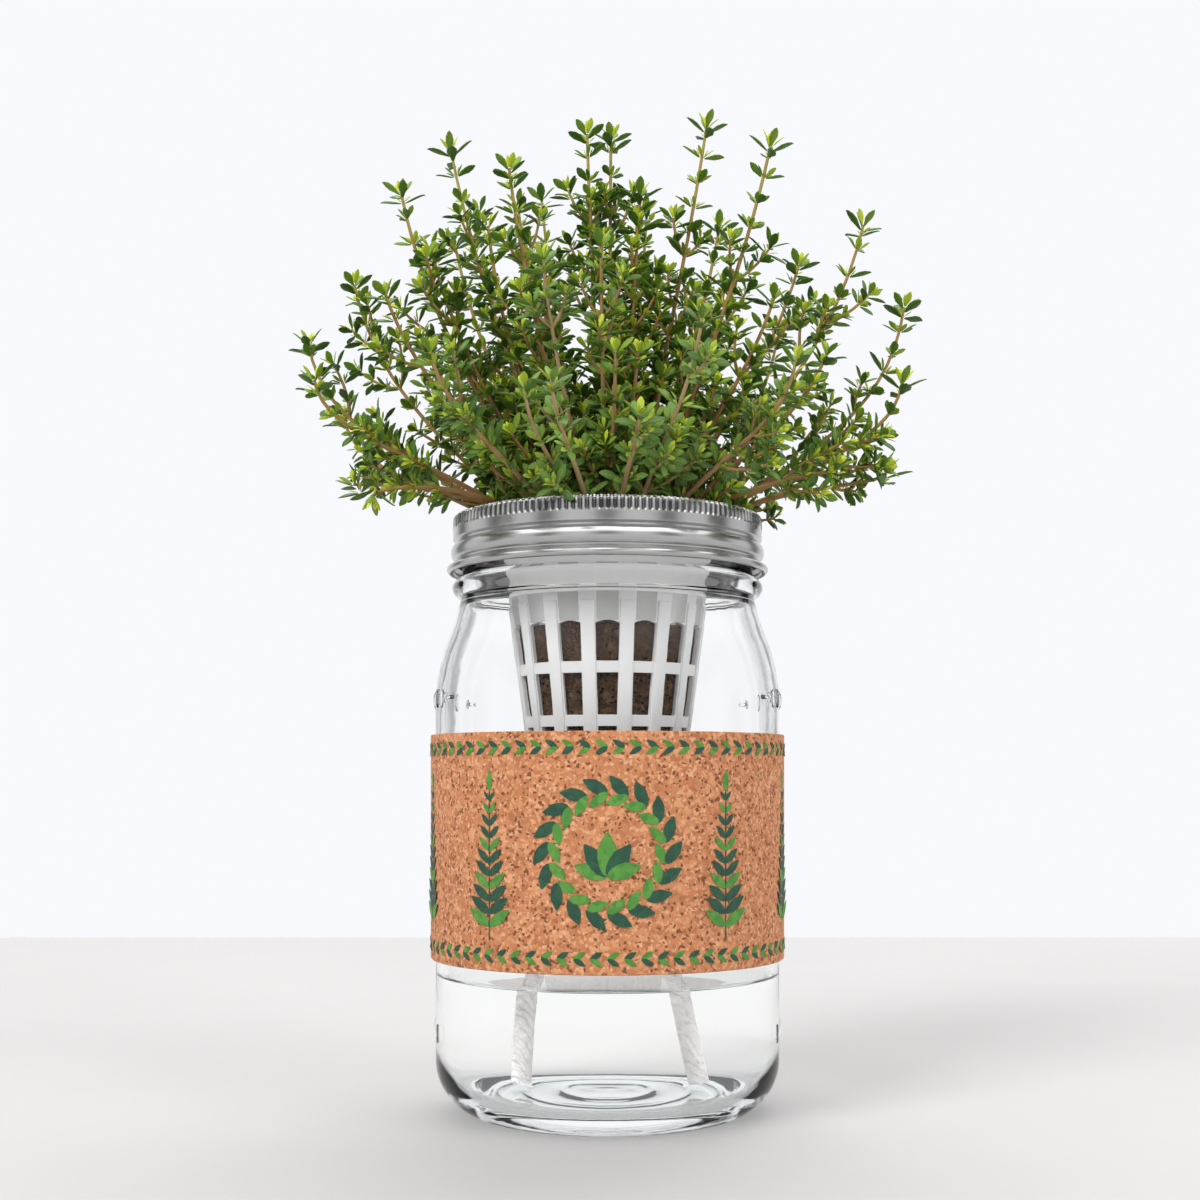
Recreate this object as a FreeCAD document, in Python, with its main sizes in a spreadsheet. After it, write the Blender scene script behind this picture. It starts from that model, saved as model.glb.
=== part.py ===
import FreeCAD, Part
import Sketcher
import math
import os
import re

# Hydroponic jar planter: a wide mouth glass jar, a screw band, a net cup with its grow plug,
# two wicks, a cork sleeve and a thyme plant. The origin is on the ground, in the jar's axis,
# with +Z up and the front towards -Y. Sizes are in millimetres and degrees.

SIZES = [
    ("overrun", "5", "how far a cut runs past what it cuts"),
    ("seat_gap", "0.3", "gap between a piece and its seat"),
    # Glass jar
    ("jar_radius", "49", "outside of the straight wall"),
    ("jar_wall", "2.6", "glass of the wall"),
    ("jar_height", "166.8", "top of the glass rim"),
    ("foot_inner", "34", "inside of the resting ring"),
    ("push_up", "2.2", "rise of the base above the ground"),
    ("heel_radius", "16", "round of the heel"),
    ("heel_turn", "72", "turn of the heel's round, degrees"),
    ("floor_height", "5.6", "top of the glass floor"),
    ("inner_heel_radius", "14.5", "round of the heel inside"),
    ("inner_heel_turn", "80", "turn of the inside heel, degrees"),
    ("shoulder_drop", "51.8", "depth of the straight wall's top below the rim"),
    ("shoulder_radius", "52.2", "round of the shoulder in section"),
    ("shoulder_turn", "22.3", "slope of the shoulder at its steepest, degrees"),
    ("neck_bend", "56", "hollow round above the shoulder"),
    ("neck_turn", "11", "slope where the shoulder meets the bead, degrees"),
    ("bead_tall", "6", "height of the neck bead"),
    ("bead_proud", "2.3", "how far the neck bead stands out"),
    ("thread_room", "2.7", "room for the thread between the mouth and the band's outside"),
    ("finish_wall", "2.8", "glass at the mouth"),
    ("grip_proud", "0.8", "how far the side marks stand out"),
    ("grip_tall", "6", "height of a side mark"),
    ("grip_turn", "8", "half width of a side mark, degrees"),
    ("grip_drop", "1", "depth of the upper side mark's foot below the shoulder"),
    ("grip_low", "20.5", "foot of the lower side mark"),
    # Screw band
    ("band_radius", "44.1", "outside of the band's wall"),
    ("band_sheet", "0.4", "steel sheet"),
    ("band_height", "16.3", "height of the band"),
    ("lip_wide", "6.1", "width of the band's lip over the flange"),
    ("band_corner", "0.35", "slope at the band's top edge"),
    ("curl_radius", "1.7", "rolled curl at the band's foot"),
    ("groove_drop", "7.6", "depth of the pressed groove below the band's top"),
    ("groove_wide", "3.6", "width of the pressed groove"),
    ("groove_deep", "1.1", "depth of the pressed groove"),
    ("groove_flank", "0.25", "extra half width of the groove's inside"),
    # Net cup
    ("flange_room", "0.9", "gap between the flange and the band's wall"),
    ("flange_thick", "1.3", "thickness of the flange"),
    ("mouth_room", "7.6", "gap between the cup and the jar's mouth under the flange"),
    ("cup_foot", "21.4", "outside of the cup at its floor"),
    ("cup_deep", "72.1", "depth of the cup below its flange"),
    ("cup_floor", "1.5", "thickness of the cup's floor"),
    ("cup_wall", "1.2", "thickness of the cup's wall"),
    ("rib_count", "16", "ribs round the cup"),
    ("rib_wide", "3.8", "width of a rib's flat"),
    ("window_edge", "0.15", "edge of plastic beside a rib's flat"),
    ("ring_wide", "3.1", "height of a ring between two rows of windows"),
    ("window_rise", "2.6", "foot of the lowest windows above the cup's underside"),
    ("window_tall", "11.4", "height of a low or middle window"),
    ("window_high_tall", "9.9", "height of a top window"),
    ("window_arch", "0.8", "rise of a top window's arch"),
    ("hole_reach", "13", "distance of the wick holes from the axis"),
    ("hole_radius", "3.1", "radius of a wick hole"),
    ("slot_count", "4", "slots in the cup's floor"),
    ("slot_inner", "6.5", "inner end of a floor slot"),
    ("slot_outer", "18", "outer end of a floor slot"),
    ("slot_wide", "3", "width of a floor slot"),
    # Grow plug
    ("plug_tall", "39.8", "height of the plug"),
    ("plug_gap", "0.3", "gap between the plug and the cup's wall"),
    ("dish_radius", "15", "planting hollow in the plug's top"),
    ("dish_deep", "2", "depth of the planting hollow"),
    ("bore_deep", "7.6", "depth of a wick's bore in the plug"),
    ("bore_radius", "2.95", "radius of a wick's bore in the plug"),
    # Wicks
    ("wick_radius", "2.75", "radius of a wick"),
    ("wick_sides", "8", "flats round a wick"),
    ("wick_end_gap", "0.6", "gap between a wick's end and the end of its bore"),
    ("wick_straight", "5", "depth below the cup down to which a wick hangs straight"),
    ("wick_spread", "10", "how far a wick spreads from its hole towards the jar's wall"),
    ("wick_foot", "1.4", "height of a wick's lower end above the glass floor"),
    # Cork sleeve
    ("sleeve_low", "44", "foot of the sleeve"),
    ("sleeve_drop", "8", "depth of the sleeve's top below the shoulder"),
    ("sleeve_gap", "0.25", "gap between the sleeve and the glass"),
    ("sleeve_thick", "1.1", "thickness of the cork"),
    ("seam_wide", "0.6", "width of the glued seam at the back"),
    ("seam_deep", "0.4", "depth of the glued seam"),
    # Thyme plant
    ("plant_half", "86.5", "reach of the sprigs to each side"),
    ("plant_deep", "79", "reach of the sprigs to the front and back"),
    ("plant_tall", "117", "height of the sprigs above the band"),
    ("pass_height", "3", "height above the rim where the sprigs leave the cup"),
    ("pass_reach", "26", "distance from the axis where the outer sprigs leave the cup"),
    ("root_reach", "12", "distance from the axis of the outer sprigs' roots"),
    ("stem_thick", "1.7", "thickness of a stem at its root"),
    ("stem_tip", "0.9", "thickness of a stem at its tip"),
    ("leaf_long", "6.3", "length of a leaf"),
    ("leaf_wide", "3", "width of a leaf"),
    ("leaf_heart", "1.3", "height of a whorl at the stem"),
    ("leaf_rise", "2.2", "how far a leaf's tip stands above its foot"),
    ("bare_stem", "24", "length of stem above the cup that carries no leaves"),
    ("whorl_pitch", "45", "distance between two whorls of leaves"),
]

# Each sprig's tip as shares of the plant's reach to the side, reach to the back and height,
# and the share by which it leans out before it rises.
SPRIG_SHARES = [
    (-0.96, -0.22, 0.42, 0.80),
    (-0.88, -0.62, 0.27, 0.85),
    (-0.93, 0.34, 0.33, 0.80),
    (-0.86, 0.10, 0.62, 0.55),
    (-0.66, -0.28, 0.76, 0.40),
    (-0.55, 0.42, 0.80, 0.30),
    (-0.52, -0.78, 0.31, 0.70),
    (-0.53, 0.05, 0.94, 0.20),
    (-0.46, 0.86, 0.44, 0.65),
    (-0.31, -0.40, 0.79, 0.25),
    (-0.24, 0.52, 0.93, 0.20),
    (-0.16, -0.93, 0.22, 0.75),
    (-0.07, 0.08, 0.99, 0.05),
    (-0.02, -0.56, 0.58, 0.35),
    (0.04, 0.96, 0.42, 0.60),
    (0.14, 0.36, 0.86, 0.20),
    (0.28, -0.78, 0.38, 0.50),
    (0.33, -0.06, 0.97, 0.10),
    (0.33, 0.72, 0.70, 0.40),
    (0.52, -0.32, 0.86, 0.20),
    (0.56, -0.70, 0.30, 0.75),
    (0.62, 0.58, 0.56, 0.50),
    (0.66, 0.16, 0.68, 0.30),
    (0.84, -0.12, 0.72, 0.45),
    (0.80, 0.46, 0.26, 0.85),
    (1.00, 0.08, 0.56, 0.75),
    (0.93, -0.32, 0.31, 0.85),
    (-0.39, -0.16, 0.71, 0.45),
    (-0.53, -0.51, 0.32, 0.50),
    (0.02, 0.61, 0.58, 0.30),
    (0.10, -0.12, 0.73, 0.35),
    (-0.25, -0.65, 0.25, 0.75),
    (0.72, -0.46, 0.10, 0.85),
    (-0.32, 0.19, 0.38, 0.60),
    (0.32, 0.20, 0.42, 0.60),
    (0.39, 0.44, 0.46, 0.40),
    (-0.23, 0.79, 0.23, 0.80),
    (-0.67, 0.64, 0.45, 0.45),
]

# Below its straight piece a wick passes these points: shares of its spread to the side and to
# the back, and of the height between its lower end and the straight piece.
WICK_LEFT_SHARES = [
    (0.20, -0.06, 0.82),
    (0.54, -0.16, 0.60),
    (0.78, -0.24, 0.385),
    (0.92, -0.29, 0.18),
    (0.99, -0.30, 0.0),
]
WICK_RIGHT_SHARES = [
    (0.09, -0.05, 0.82),
    (0.27, -0.13, 0.60),
    (0.53, -0.22, 0.385),
    (0.82, -0.30, 0.18),
    (1.13, -0.36, 0.0),
]

doc = FreeCAD.newDocument("JarPlanter")
sheet = doc.addObject("Spreadsheet::Sheet", "Sizes")
for row, (alias, number, meaning) in enumerate(SIZES, start=1):
    sheet.set("A%d" % row, alias)
    sheet.set("B%d" % row, number)
    sheet.set("C%d" % row, meaning)
    sheet.setAlias("B%d" % row, alias)
doc.recompute()
NAMES = {alias for alias, number, meaning in SIZES}


def size(alias):
    """The present value of one size."""
    return float(sheet.get(alias))


def bound(expression):
    """The expression with every size's name pointed at the sheet."""
    return re.sub(r"[a-z_]+", lambda word: "Sizes." + word.group() if word.group() in NAMES
                  else word.group(), expression)


def value(expression):
    """The number that an expression of sizes gives now."""
    return float(sheet.evalExpression(bound(expression)))


def new_body(label):
    body = doc.addObject("PartDesign::Body", label)
    body.Label = label
    return body


def new_sketch(body, name, plane_role, lift=None):
    """A sketch on one of the body's own planes, lifted off it by an expression."""
    sketch = body.newObject("Sketcher::SketchObject", name)
    plane = [face for face in body.Origin.OriginFeatures if face.Role == plane_role][0]
    sketch.AttachmentSupport = [(plane, "")]
    sketch.MapMode = "FlatFace"
    if lift:
        sketch.setExpression("AttachmentOffset.Base.z", bound(lift))
    return sketch


def pin_point(sketch, edge, end, across, up):
    """Hold one end of an edge at a place given by two expressions."""
    for kind, axis, expression in (("DistanceX", -2, across), ("DistanceY", -1, up)):
        if expression == "0":
            sketch.addConstraint(Sketcher.Constraint("PointOnObject", edge, end, axis))
        else:
            rule = Sketcher.Constraint(kind, -1, 1, edge, end, value(expression))
            index = sketch.addConstraint(rule)
            sketch.setExpression("Constraints[%d]" % index, bound(expression))


def arc_between(start, finish, radius, side):
    """The short arc from start to finish that bulges to the left or right of the way."""
    chord = finish - start
    half = chord.Length / 2
    across = FreeCAD.Vector(-chord.y, chord.x, 0).normalize()
    depth = math.sqrt(max(radius * radius - half * half, 0))
    centre = (start + finish) / 2 + across * (depth if side == "right" else -depth)
    first, last = (start, finish) if side == "right" else (finish, start)
    turn_first = math.atan2(first.y - centre.y, first.x - centre.x)
    turn_last = math.atan2(last.y - centre.y, last.x - centre.x)
    if turn_last < turn_first:
        turn_last += 2 * math.pi
    circle = Part.Circle(centre, FreeCAD.Vector(0, 0, 1), radius)
    return Part.ArcOfCircle(circle, turn_first, turn_last)


def draw_outline(sketch, corners):
    """A closed outline. A corner is (across, up), or (across, up, radius, side) where an arc that
    bulges to that side leads on to the next corner."""
    places = [FreeCAD.Vector(value(c[0]), value(c[1]), 0) for c in corners]
    ends = []
    for index, corner in enumerate(corners):
        start = places[index]
        finish = places[(index + 1) % len(corners)]
        if len(corner) == 4:
            radius, side = corner[2:]
            edge = sketch.addGeometry(arc_between(start, finish, value(radius), side), False)
            ends.append((edge, 1, 2) if side == "right" else (edge, 2, 1))
            rule = sketch.addConstraint(Sketcher.Constraint("Radius", edge, value(radius)))
            sketch.setExpression("Constraints[%d]" % rule, bound(radius))
        else:
            edge = sketch.addGeometry(Part.LineSegment(start, finish), False)
            ends.append((edge, 1, 2))
    for index, corner in enumerate(corners):
        edge, begin, end = ends[index]
        following, next_begin, next_end = ends[(index + 1) % len(corners)]
        sketch.addConstraint(Sketcher.Constraint("Coincident", edge, end, following, next_begin))
        pin_point(sketch, edge, begin, corner[0], corner[1])


def revolve(body, name, sketch):
    turned = body.newObject("PartDesign::Revolution", name)
    turned.Profile = sketch
    turned.ReferenceAxis = (sketch, ["V_Axis"])
    turned.Angle = 360
    return turned


def repeat_round(body, name, features, count):
    """Copies of features round the body's axis. The body ends with them."""
    pattern = body.newObject("PartDesign::PolarPattern", name)
    pattern.Originals = features
    axis = [line for line in body.Origin.OriginFeatures if line.Role == "Z_Axis"][0]
    pattern.Axis = (axis, [""])
    pattern.Angle = 360
    if count in NAMES:
        pattern.setExpression("Occurrences", bound(count))
    else:
        pattern.Occurrences = int(count)
    body.Tip = pattern
    return pattern


def dome(across, rise):
    """The radius of an arc whose end lies across and rise from its level start."""
    return "((%s)^2 + (%s)^2) / (2 * (%s))" % (across, rise, rise)


def round_corners(across, up, radius, first, last, steps):
    """Corners evenly spaced on an arc round a centre, from one angle to another."""
    corners = []
    for step in range(steps + 1):
        turn = "(%s + (%s - %s) * %d / %d)" % (first, last, first, step, steps)
        corners.append(("%s + %s * cos%s" % (across, radius, turn),
                        "%s + %s * sin%s" % (up, radius, turn)))
    return corners


def add_circle(sketch, across, radius):
    """A full circle on the sketch's level axis."""
    circle = Part.Circle(FreeCAD.Vector(value(across), 0, 0), FreeCAD.Vector(0, 0, 1),
                         value(radius))
    edge = sketch.addGeometry(circle, False)
    pin_point(sketch, edge, 3, across, "0")
    rule = sketch.addConstraint(Sketcher.Constraint("Radius", edge, value(radius)))
    sketch.setExpression("Constraints[%d]" % rule, bound(radius))


def cut_up(body, name, sketch, depth):
    """A pocket from the sketch upwards."""
    pocket = body.newObject("PartDesign::Pocket", name)
    pocket.Profile = sketch
    pocket.Reversed = True
    pocket.setExpression("Length", bound(depth))
    return pocket


SHOULDER = "(jar_height - shoulder_drop)"
FINISH = "(band_radius - thread_room)"
BORE = "(band_radius - thread_room - finish_wall)"
LIP = "(band_radius - lip_wide)"
BAND_TOP = "(jar_height + seat_gap + flange_thick + seat_gap + band_sheet)"
FLANGE_FOOT = "(jar_height + seat_gap)"
FLANGE = "(band_radius - band_sheet - flange_room)"
CUP_MOUTH = "(band_radius - thread_room - finish_wall - mouth_room)"
CUP_UNDER = "(jar_height + seat_gap - cup_deep)"
PLUG_FOOT = "(jar_height + seat_gap - cup_deep + cup_floor + seat_gap)"
PLUG_TOP = "(jar_height + seat_gap - cup_deep + cup_floor + seat_gap + plug_tall)"


def make_jar():
    """Glass jar: one revolved wall and the raised side marks."""
    body = new_body("glass_jar")
    bend_across = "jar_radius - shoulder_radius * (1 - cos(shoulder_turn))"
    bend_up = SHOULDER + " + shoulder_radius * sin(shoulder_turn)"
    neck_across = bend_across + " + neck_bend * (cos(shoulder_turn) - cos(neck_turn))"
    neck_up = bend_up + " + neck_bend * (sin(shoulder_turn) - sin(neck_turn))"
    inside = "jar_radius - jar_wall"
    corners = [
        ("0", "push_up"),
        ("foot_inner - push_up", "push_up"),
        ("foot_inner", "0"),
    ]
    corners += round_corners("jar_radius - heel_radius", "heel_radius * sin(heel_turn)",
                             "heel_radius", "-heel_turn", "0", 2)
    corners += round_corners("jar_radius - shoulder_radius", SHOULDER,
                             "shoulder_radius", "0", "shoulder_turn", 2)
    corners += [
        (neck_across, neck_up),
        (neck_across + " + bead_proud", neck_up + " + bead_tall / 3"),
        (neck_across + " + bead_proud", neck_up + " + bead_tall * 2 / 3"),
        (FINISH, neck_up + " + bead_tall"),
        (FINISH, "jar_height"),
        (BORE, "jar_height"),
        (BORE, neck_up + " + bead_tall"),
    ]
    corners.append((inside, SHOULDER))
    corners += round_corners(inside + " - inner_heel_radius",
                             "floor_height + inner_heel_radius * sin(inner_heel_turn)",
                             "inner_heel_radius", "0", "-inner_heel_turn", 1)
    corners.append(("0", "floor_height"))
    wall_sketch = new_sketch(body, "JarWall", "YZ_Plane")
    draw_outline(wall_sketch, corners)
    revolve(body, "JarTurned", wall_sketch)

    marks = []
    for name, foot in (("Upper", SHOULDER + " - grip_drop"), ("Lower", "grip_low")):
        mark_sketch = new_sketch(body, name + "MarkSection", "XY_Plane", foot)
        inside = "(jar_radius - jar_wall / 2)"
        outside = "(jar_radius + grip_proud)"
        draw_outline(mark_sketch, [
            (inside + " * cos(grip_turn)", "-" + inside + " * sin(grip_turn)"),
            (outside + " * cos(grip_turn)", "-" + outside + " * sin(grip_turn)",
             outside, "right"),
            (outside + " * cos(grip_turn)", outside + " * sin(grip_turn)"),
            (inside + " * cos(grip_turn)", inside + " * sin(grip_turn)", inside, "left"),
        ])
        mark = body.newObject("PartDesign::Pad", name + "Mark")
        mark.Profile = mark_sketch
        mark.setExpression("Length", bound("grip_tall"))
        marks.append(mark)
    repeat_round(body, "SideMarks", marks, "2")
    return body


def make_band():
    """Screw band: thin sheet with a lip, a pressed groove and a rolled curl."""
    body = new_body("screw_band")
    foot = BAND_TOP + " - band_height"
    groove = BAND_TOP + " - groove_drop"
    inside = "band_radius - band_sheet"
    wall_sketch = new_sketch(body, "BandWall", "YZ_Plane")
    draw_outline(wall_sketch, [
        (LIP, BAND_TOP + " - band_sheet"),
        (inside, BAND_TOP + " - band_sheet"),
        (inside, groove + " + groove_wide / 2 + groove_flank"),
        (inside + " - groove_deep", groove),
        (inside, groove + " - groove_wide / 2 - groove_flank"),
        (inside, foot),
        ("band_radius + curl_radius", foot + " + curl_radius / 2"),
        ("band_radius + curl_radius", foot + " + curl_radius * 3 / 2"),
        ("band_radius", foot + " + curl_radius * 2"),
        ("band_radius", groove + " - groove_wide / 2"),
        ("band_radius - groove_deep", groove),
        ("band_radius", groove + " + groove_wide / 2"),
        ("band_radius", BAND_TOP + " - band_corner"),
        ("band_radius - band_corner", BAND_TOP),
        (LIP, BAND_TOP),
    ])
    revolve(body, "BandTurned", wall_sketch)
    return body


def cup_radius(height):
    """The outside of the cup's wall at a height."""
    slope = "((%s - cup_foot) / cup_deep)" % CUP_MOUTH
    return "(cup_foot + %s * (%s - %s))" % (slope, height, CUP_UNDER)


def window_half(height):
    """Half the width of a window at a height."""
    return ("(%s * sin(180 / rib_count) - rib_wide / 2 * cos(180 / rib_count) - window_edge)"
            % cup_radius("(%s)" % height))


def ribbed_corners(radius):
    """The cup's section: a flat for each rib and one for each column of windows."""
    corners = []
    for rib in range(int(size("rib_count"))):
        turn = "(360 * %g / rib_count)" % (rib + 0.5)
        for side, other in (("+", "-"), ("-", "+")):
            corners.append(("%s * cos%s %s rib_wide / 2 * sin%s" % (radius, turn, side, turn),
                            "%s * sin%s %s rib_wide / 2 * cos%s" % (radius, turn, other, turn)))
    return corners


def flat_sided(low, high, inset):
    """The cup's tapered form between two heights, set in from its outside. Every side is a true
    plane, which a loft or a tapered pad would make a curved face."""
    rings = []
    for height in (low, high):
        level = value(height)
        corners = ribbed_corners("(%s - %s)" % (cup_radius("(%s)" % height), inset))
        rings.append([FreeCAD.Vector(value(x), value(y), level) for x, y in corners])
    foot, head = rings
    faces = [Part.Face(Part.makePolygon(ring + ring[:1])) for ring in rings]
    for index in range(len(foot)):
        after = (index + 1) % len(foot)
        side = [foot[index], foot[after], head[after], head[index], foot[index]]
        faces.append(Part.Face(Part.makePolygon(side)))
    return Part.makeSolid(Part.makeShell(faces))


def body_from(label, name, shape):
    """A body that starts from a flat-sided block."""
    block = doc.addObject("Part::Feature", name)
    block.Shape = shape
    body = new_body(label)
    body.BaseFeature = block
    return body


def make_cup():
    """Net cup: tapered wall with three rows of windows, slotted floor and wide flange."""
    top = FLANGE_FOOT + " + flange_thick"
    outside = flat_sided(CUP_UNDER, top, "0")
    inside = flat_sided(CUP_UNDER + " + cup_floor", top + " + overrun", "cup_wall")
    body = body_from("net_cup", "CupWall", outside.cut(inside))
    flange_sketch = new_sketch(body, "FlangeSection", "XY_Plane", FLANGE_FOOT)
    add_circle(flange_sketch, "0", FLANGE)
    draw_outline(flange_sketch, ribbed_corners("(%s - cup_wall / 2)" % cup_radius(FLANGE_FOOT)))
    flange = body.newObject("PartDesign::Pad", "Flange")
    flange.Profile = flange_sketch
    flange.setExpression("Length", bound("flange_thick"))

    windows = []
    foot = CUP_UNDER + " + window_rise"
    for name, tall in (("Low", "window_tall"), ("Middle", "window_tall"),
                       ("High", "window_high_tall")):
        head = foot + " + " + tall
        low_half = window_half(foot)
        high_half = window_half(head)
        window_sketch = new_sketch(body, name + "WindowSection", "XZ_Plane")
        head_corner = (high_half, head)
        if name == "High":
            head_corner = (high_half, head, dome(high_half, "window_arch"), "right")
        draw_outline(window_sketch, [
            ("-" + low_half, foot),
            (low_half, foot),
            head_corner,
            ("-" + high_half, head),
        ])
        window = body.newObject("PartDesign::Pocket", name + "Window")
        window.Profile = window_sketch
        window.Reversed = True
        window.setExpression("Length", bound(CUP_MOUTH + " + overrun"))
        windows.append(window)
        foot = head + " + ring_wide"
    repeat_round(body, "Windows", windows, "rib_count")

    hole_sketch = new_sketch(body, "WickHoleSection", "XY_Plane", CUP_UNDER + " - overrun")
    add_circle(hole_sketch, "hole_reach", "hole_radius")
    hole = cut_up(body, "WickHole", hole_sketch, "overrun + cup_floor + overrun")
    repeat_round(body, "WickHoles", [hole], "2")

    slot_sketch = new_sketch(body, "FloorSlotSection", "XY_Plane", CUP_UNDER + " - overrun")
    start = "(180 / slot_count)"
    corners = []
    for end, half in (("slot_inner", "-"), ("slot_outer", "-"), ("slot_outer", ""),
                      ("slot_inner", "")):
        corners.append(("%s * cos%s - %sslot_wide / 2 * sin%s" % (end, start, half, start),
                        "%s * sin%s + %sslot_wide / 2 * cos%s" % (end, start, half, start)))
    draw_outline(slot_sketch, corners)
    slot = cut_up(body, "FloorSlot", slot_sketch, "overrun + cup_floor + overrun")
    repeat_round(body, "FloorSlots", [slot], "slot_count")
    return body


def make_plug():
    """Grow plug: tapered like the cup, with a planting hollow and two blind bores."""
    body = body_from("grow_plug", "PlugBlock",
                     flat_sided(PLUG_FOOT, PLUG_TOP, "(cup_wall + plug_gap)"))

    dish_sketch = new_sketch(body, "DishSection", "XY_Plane", PLUG_TOP + " - dish_deep")
    add_circle(dish_sketch, "0", "dish_radius")
    cut_up(body, "Dish", dish_sketch, "dish_deep + overrun")

    bore_sketch = new_sketch(body, "WickBoreSection", "XY_Plane", PLUG_FOOT + " - overrun")
    add_circle(bore_sketch, "hole_reach", "bore_radius")
    bore = cut_up(body, "WickBore", bore_sketch, "overrun + bore_deep")
    repeat_round(body, "WickBores", [bore], "2")
    return body


def make_sleeve():
    """Cork sleeve: a thin tube with a shallow glued seam at the back."""
    body = new_body("cork_sleeve")
    inside = "jar_radius + sleeve_gap"
    head = SHOULDER + " - sleeve_drop"
    sleeve_sketch = new_sketch(body, "SleeveSection", "YZ_Plane")
    draw_outline(sleeve_sketch, [
        (inside, "sleeve_low"),
        (inside + " + sleeve_thick", "sleeve_low"),
        (inside + " + sleeve_thick", head),
        (inside, head),
    ])
    revolve(body, "SleeveTurned", sleeve_sketch)

    seam_sketch = new_sketch(body, "SeamSection", "XY_Plane", "sleeve_low - overrun")
    draw_outline(seam_sketch, [
        ("-seam_wide / 2", inside + " + sleeve_thick - seam_deep"),
        ("seam_wide / 2", inside + " + sleeve_thick - seam_deep"),
        ("seam_wide / 2", inside + " + sleeve_thick + overrun"),
        ("-seam_wide / 2", inside + " + sleeve_thick + overrun"),
    ])
    cut_up(body, "Seam", seam_sketch, head + " - sleeve_low + overrun + overrun")
    return body


def wick_route(shares, side):
    """A wick's points, from its blind bore in the plug down to the glass floor."""
    foot = size("floor_height") + size("wick_foot")
    bend = value(CUP_UNDER) - size("wick_straight")
    head = value(PLUG_FOOT) + size("bore_deep") - size("wick_end_gap")
    hole = size("hole_reach")
    points = [FreeCAD.Vector(side * hole, 0, head), FreeCAD.Vector(side * hole, 0, bend)]
    for across, back, height in shares:
        points.append(FreeCAD.Vector(side * (hole + across * size("wick_spread")),
                                     back * size("wick_spread"),
                                     foot + height * (bend - foot)))
    return points


def make_wick(label, points):
    """A wick: straight runs joined by arcs as large as the runs allow."""
    runs = [after - before for before, after in zip(points, points[1:])]
    edges = []
    start = points[0]
    for index, (run, onward) in enumerate(zip(runs, runs[1:])):
        corner = points[index + 1]
        half_turn = run.getAngle(onward) / 2
        reach = 0.45 * min(run.Length, onward.Length)
        print(label, "bend radius", round(reach / math.tan(half_turn), 1))
        arc_start = corner - run * (reach / run.Length)
        arc_end = corner + onward * (reach / onward.Length)
        inward = (onward / onward.Length - run / run.Length).normalize()
        middle = corner + inward * (reach * (1 - math.cos(half_turn)) / math.sin(half_turn))
        edges.append(Part.LineSegment(start, arc_start).toShape())
        edges.append(Part.Arc(arc_start, middle, arc_end).toShape())
        start = arc_end
    edges.append(Part.LineSegment(start, points[-1]).toShape())
    path = Part.Wire(edges)
    sides = int(size("wick_sides"))
    turns = [2 * math.pi * side / sides for side in range(sides + 1)]
    ring = Part.makePolygon([points[0] + FreeCAD.Vector(math.cos(turn), math.sin(turn), 0)
                             * size("wick_radius") for turn in turns])
    cord = doc.addObject("Part::Feature", label)
    cord.Label = label
    cord.Shape = path.makePipeShell([ring], True, False)
    cord.Placement = FreeCAD.Placement()
    wanted = Part.Face(ring).Area * path.Length
    print(label, "length", round(path.Length, 1), "volume share",
          round(cord.Shape.Volume / wanted, 4))
    return cord


class Surface:
    """Corners and three-cornered faces of a closed surface."""

    def __init__(self):
        self.places = []
        self.faces = []

    def add(self, place):
        self.places.append(place)
        return len(self.places) - 1

    def add_ring(self, middle, half, side, front):
        """Four corners of a square stem, counter-clockwise seen from its tip."""
        turns = ((-1, -1), (1, -1), (1, 1), (-1, 1))
        return [self.add(middle + side * (half * x) + front * (half * y)) for x, y in turns]

    def join(self, low, high):
        """The four sides of a stem between two rings."""
        for index in range(len(low)):
            after = (index + 1) % len(low)
            self.faces.append((low[index], low[after], high[after]))
            self.faces.append((low[index], high[after], high[index]))

    def to_solid(self):
        shell = Part.Shape()
        shell.makeShapeFromMesh((self.places, self.faces), size("seat_gap") / 100)
        return Part.makeSolid(shell)


def add_whorl(surface, low, heart, half, along, side, front, high):
    """Four leaves round the stem between a low ring and a high ring, or a tip if high is one corner."""
    corners = surface.add_ring(heart, half, side, front)
    outward = (-front, side, front, -side)
    for index, way in enumerate(outward):
        after = (index + 1) % len(outward)
        across = outward[after]
        belly = heart + way * (size("leaf_long") / 2) + along * (size("leaf_rise") / 2)
        left = surface.add(belly - across * (size("leaf_wide") / 2))
        tip = surface.add(heart + way * size("leaf_long") + along * size("leaf_rise"))
        right = surface.add(belly + across * (size("leaf_wide") / 2))
        edge = [corners[index], left, tip, right, corners[after]]
        for begin, end in zip(edge[:2], edge[1:3]):
            surface.faces.append((low[index], end, begin))
        surface.faces.append((low[index], low[after], tip))
        for begin, end in zip(edge[2:], edge[3:]):
            surface.faces.append((low[after], end, begin))
        if isinstance(high, int):
            for begin, end in zip(edge, edge[1:]):
                surface.faces.append((high, begin, end))
        else:
            for begin, end in zip(edge[:2], edge[1:3]):
                surface.faces.append((high[index], begin, end))
            surface.faces.append((high[after], high[index], tip))
            for begin, end in zip(edge[2:], edge[3:]):
                surface.faces.append((high[after], begin, end))


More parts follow.
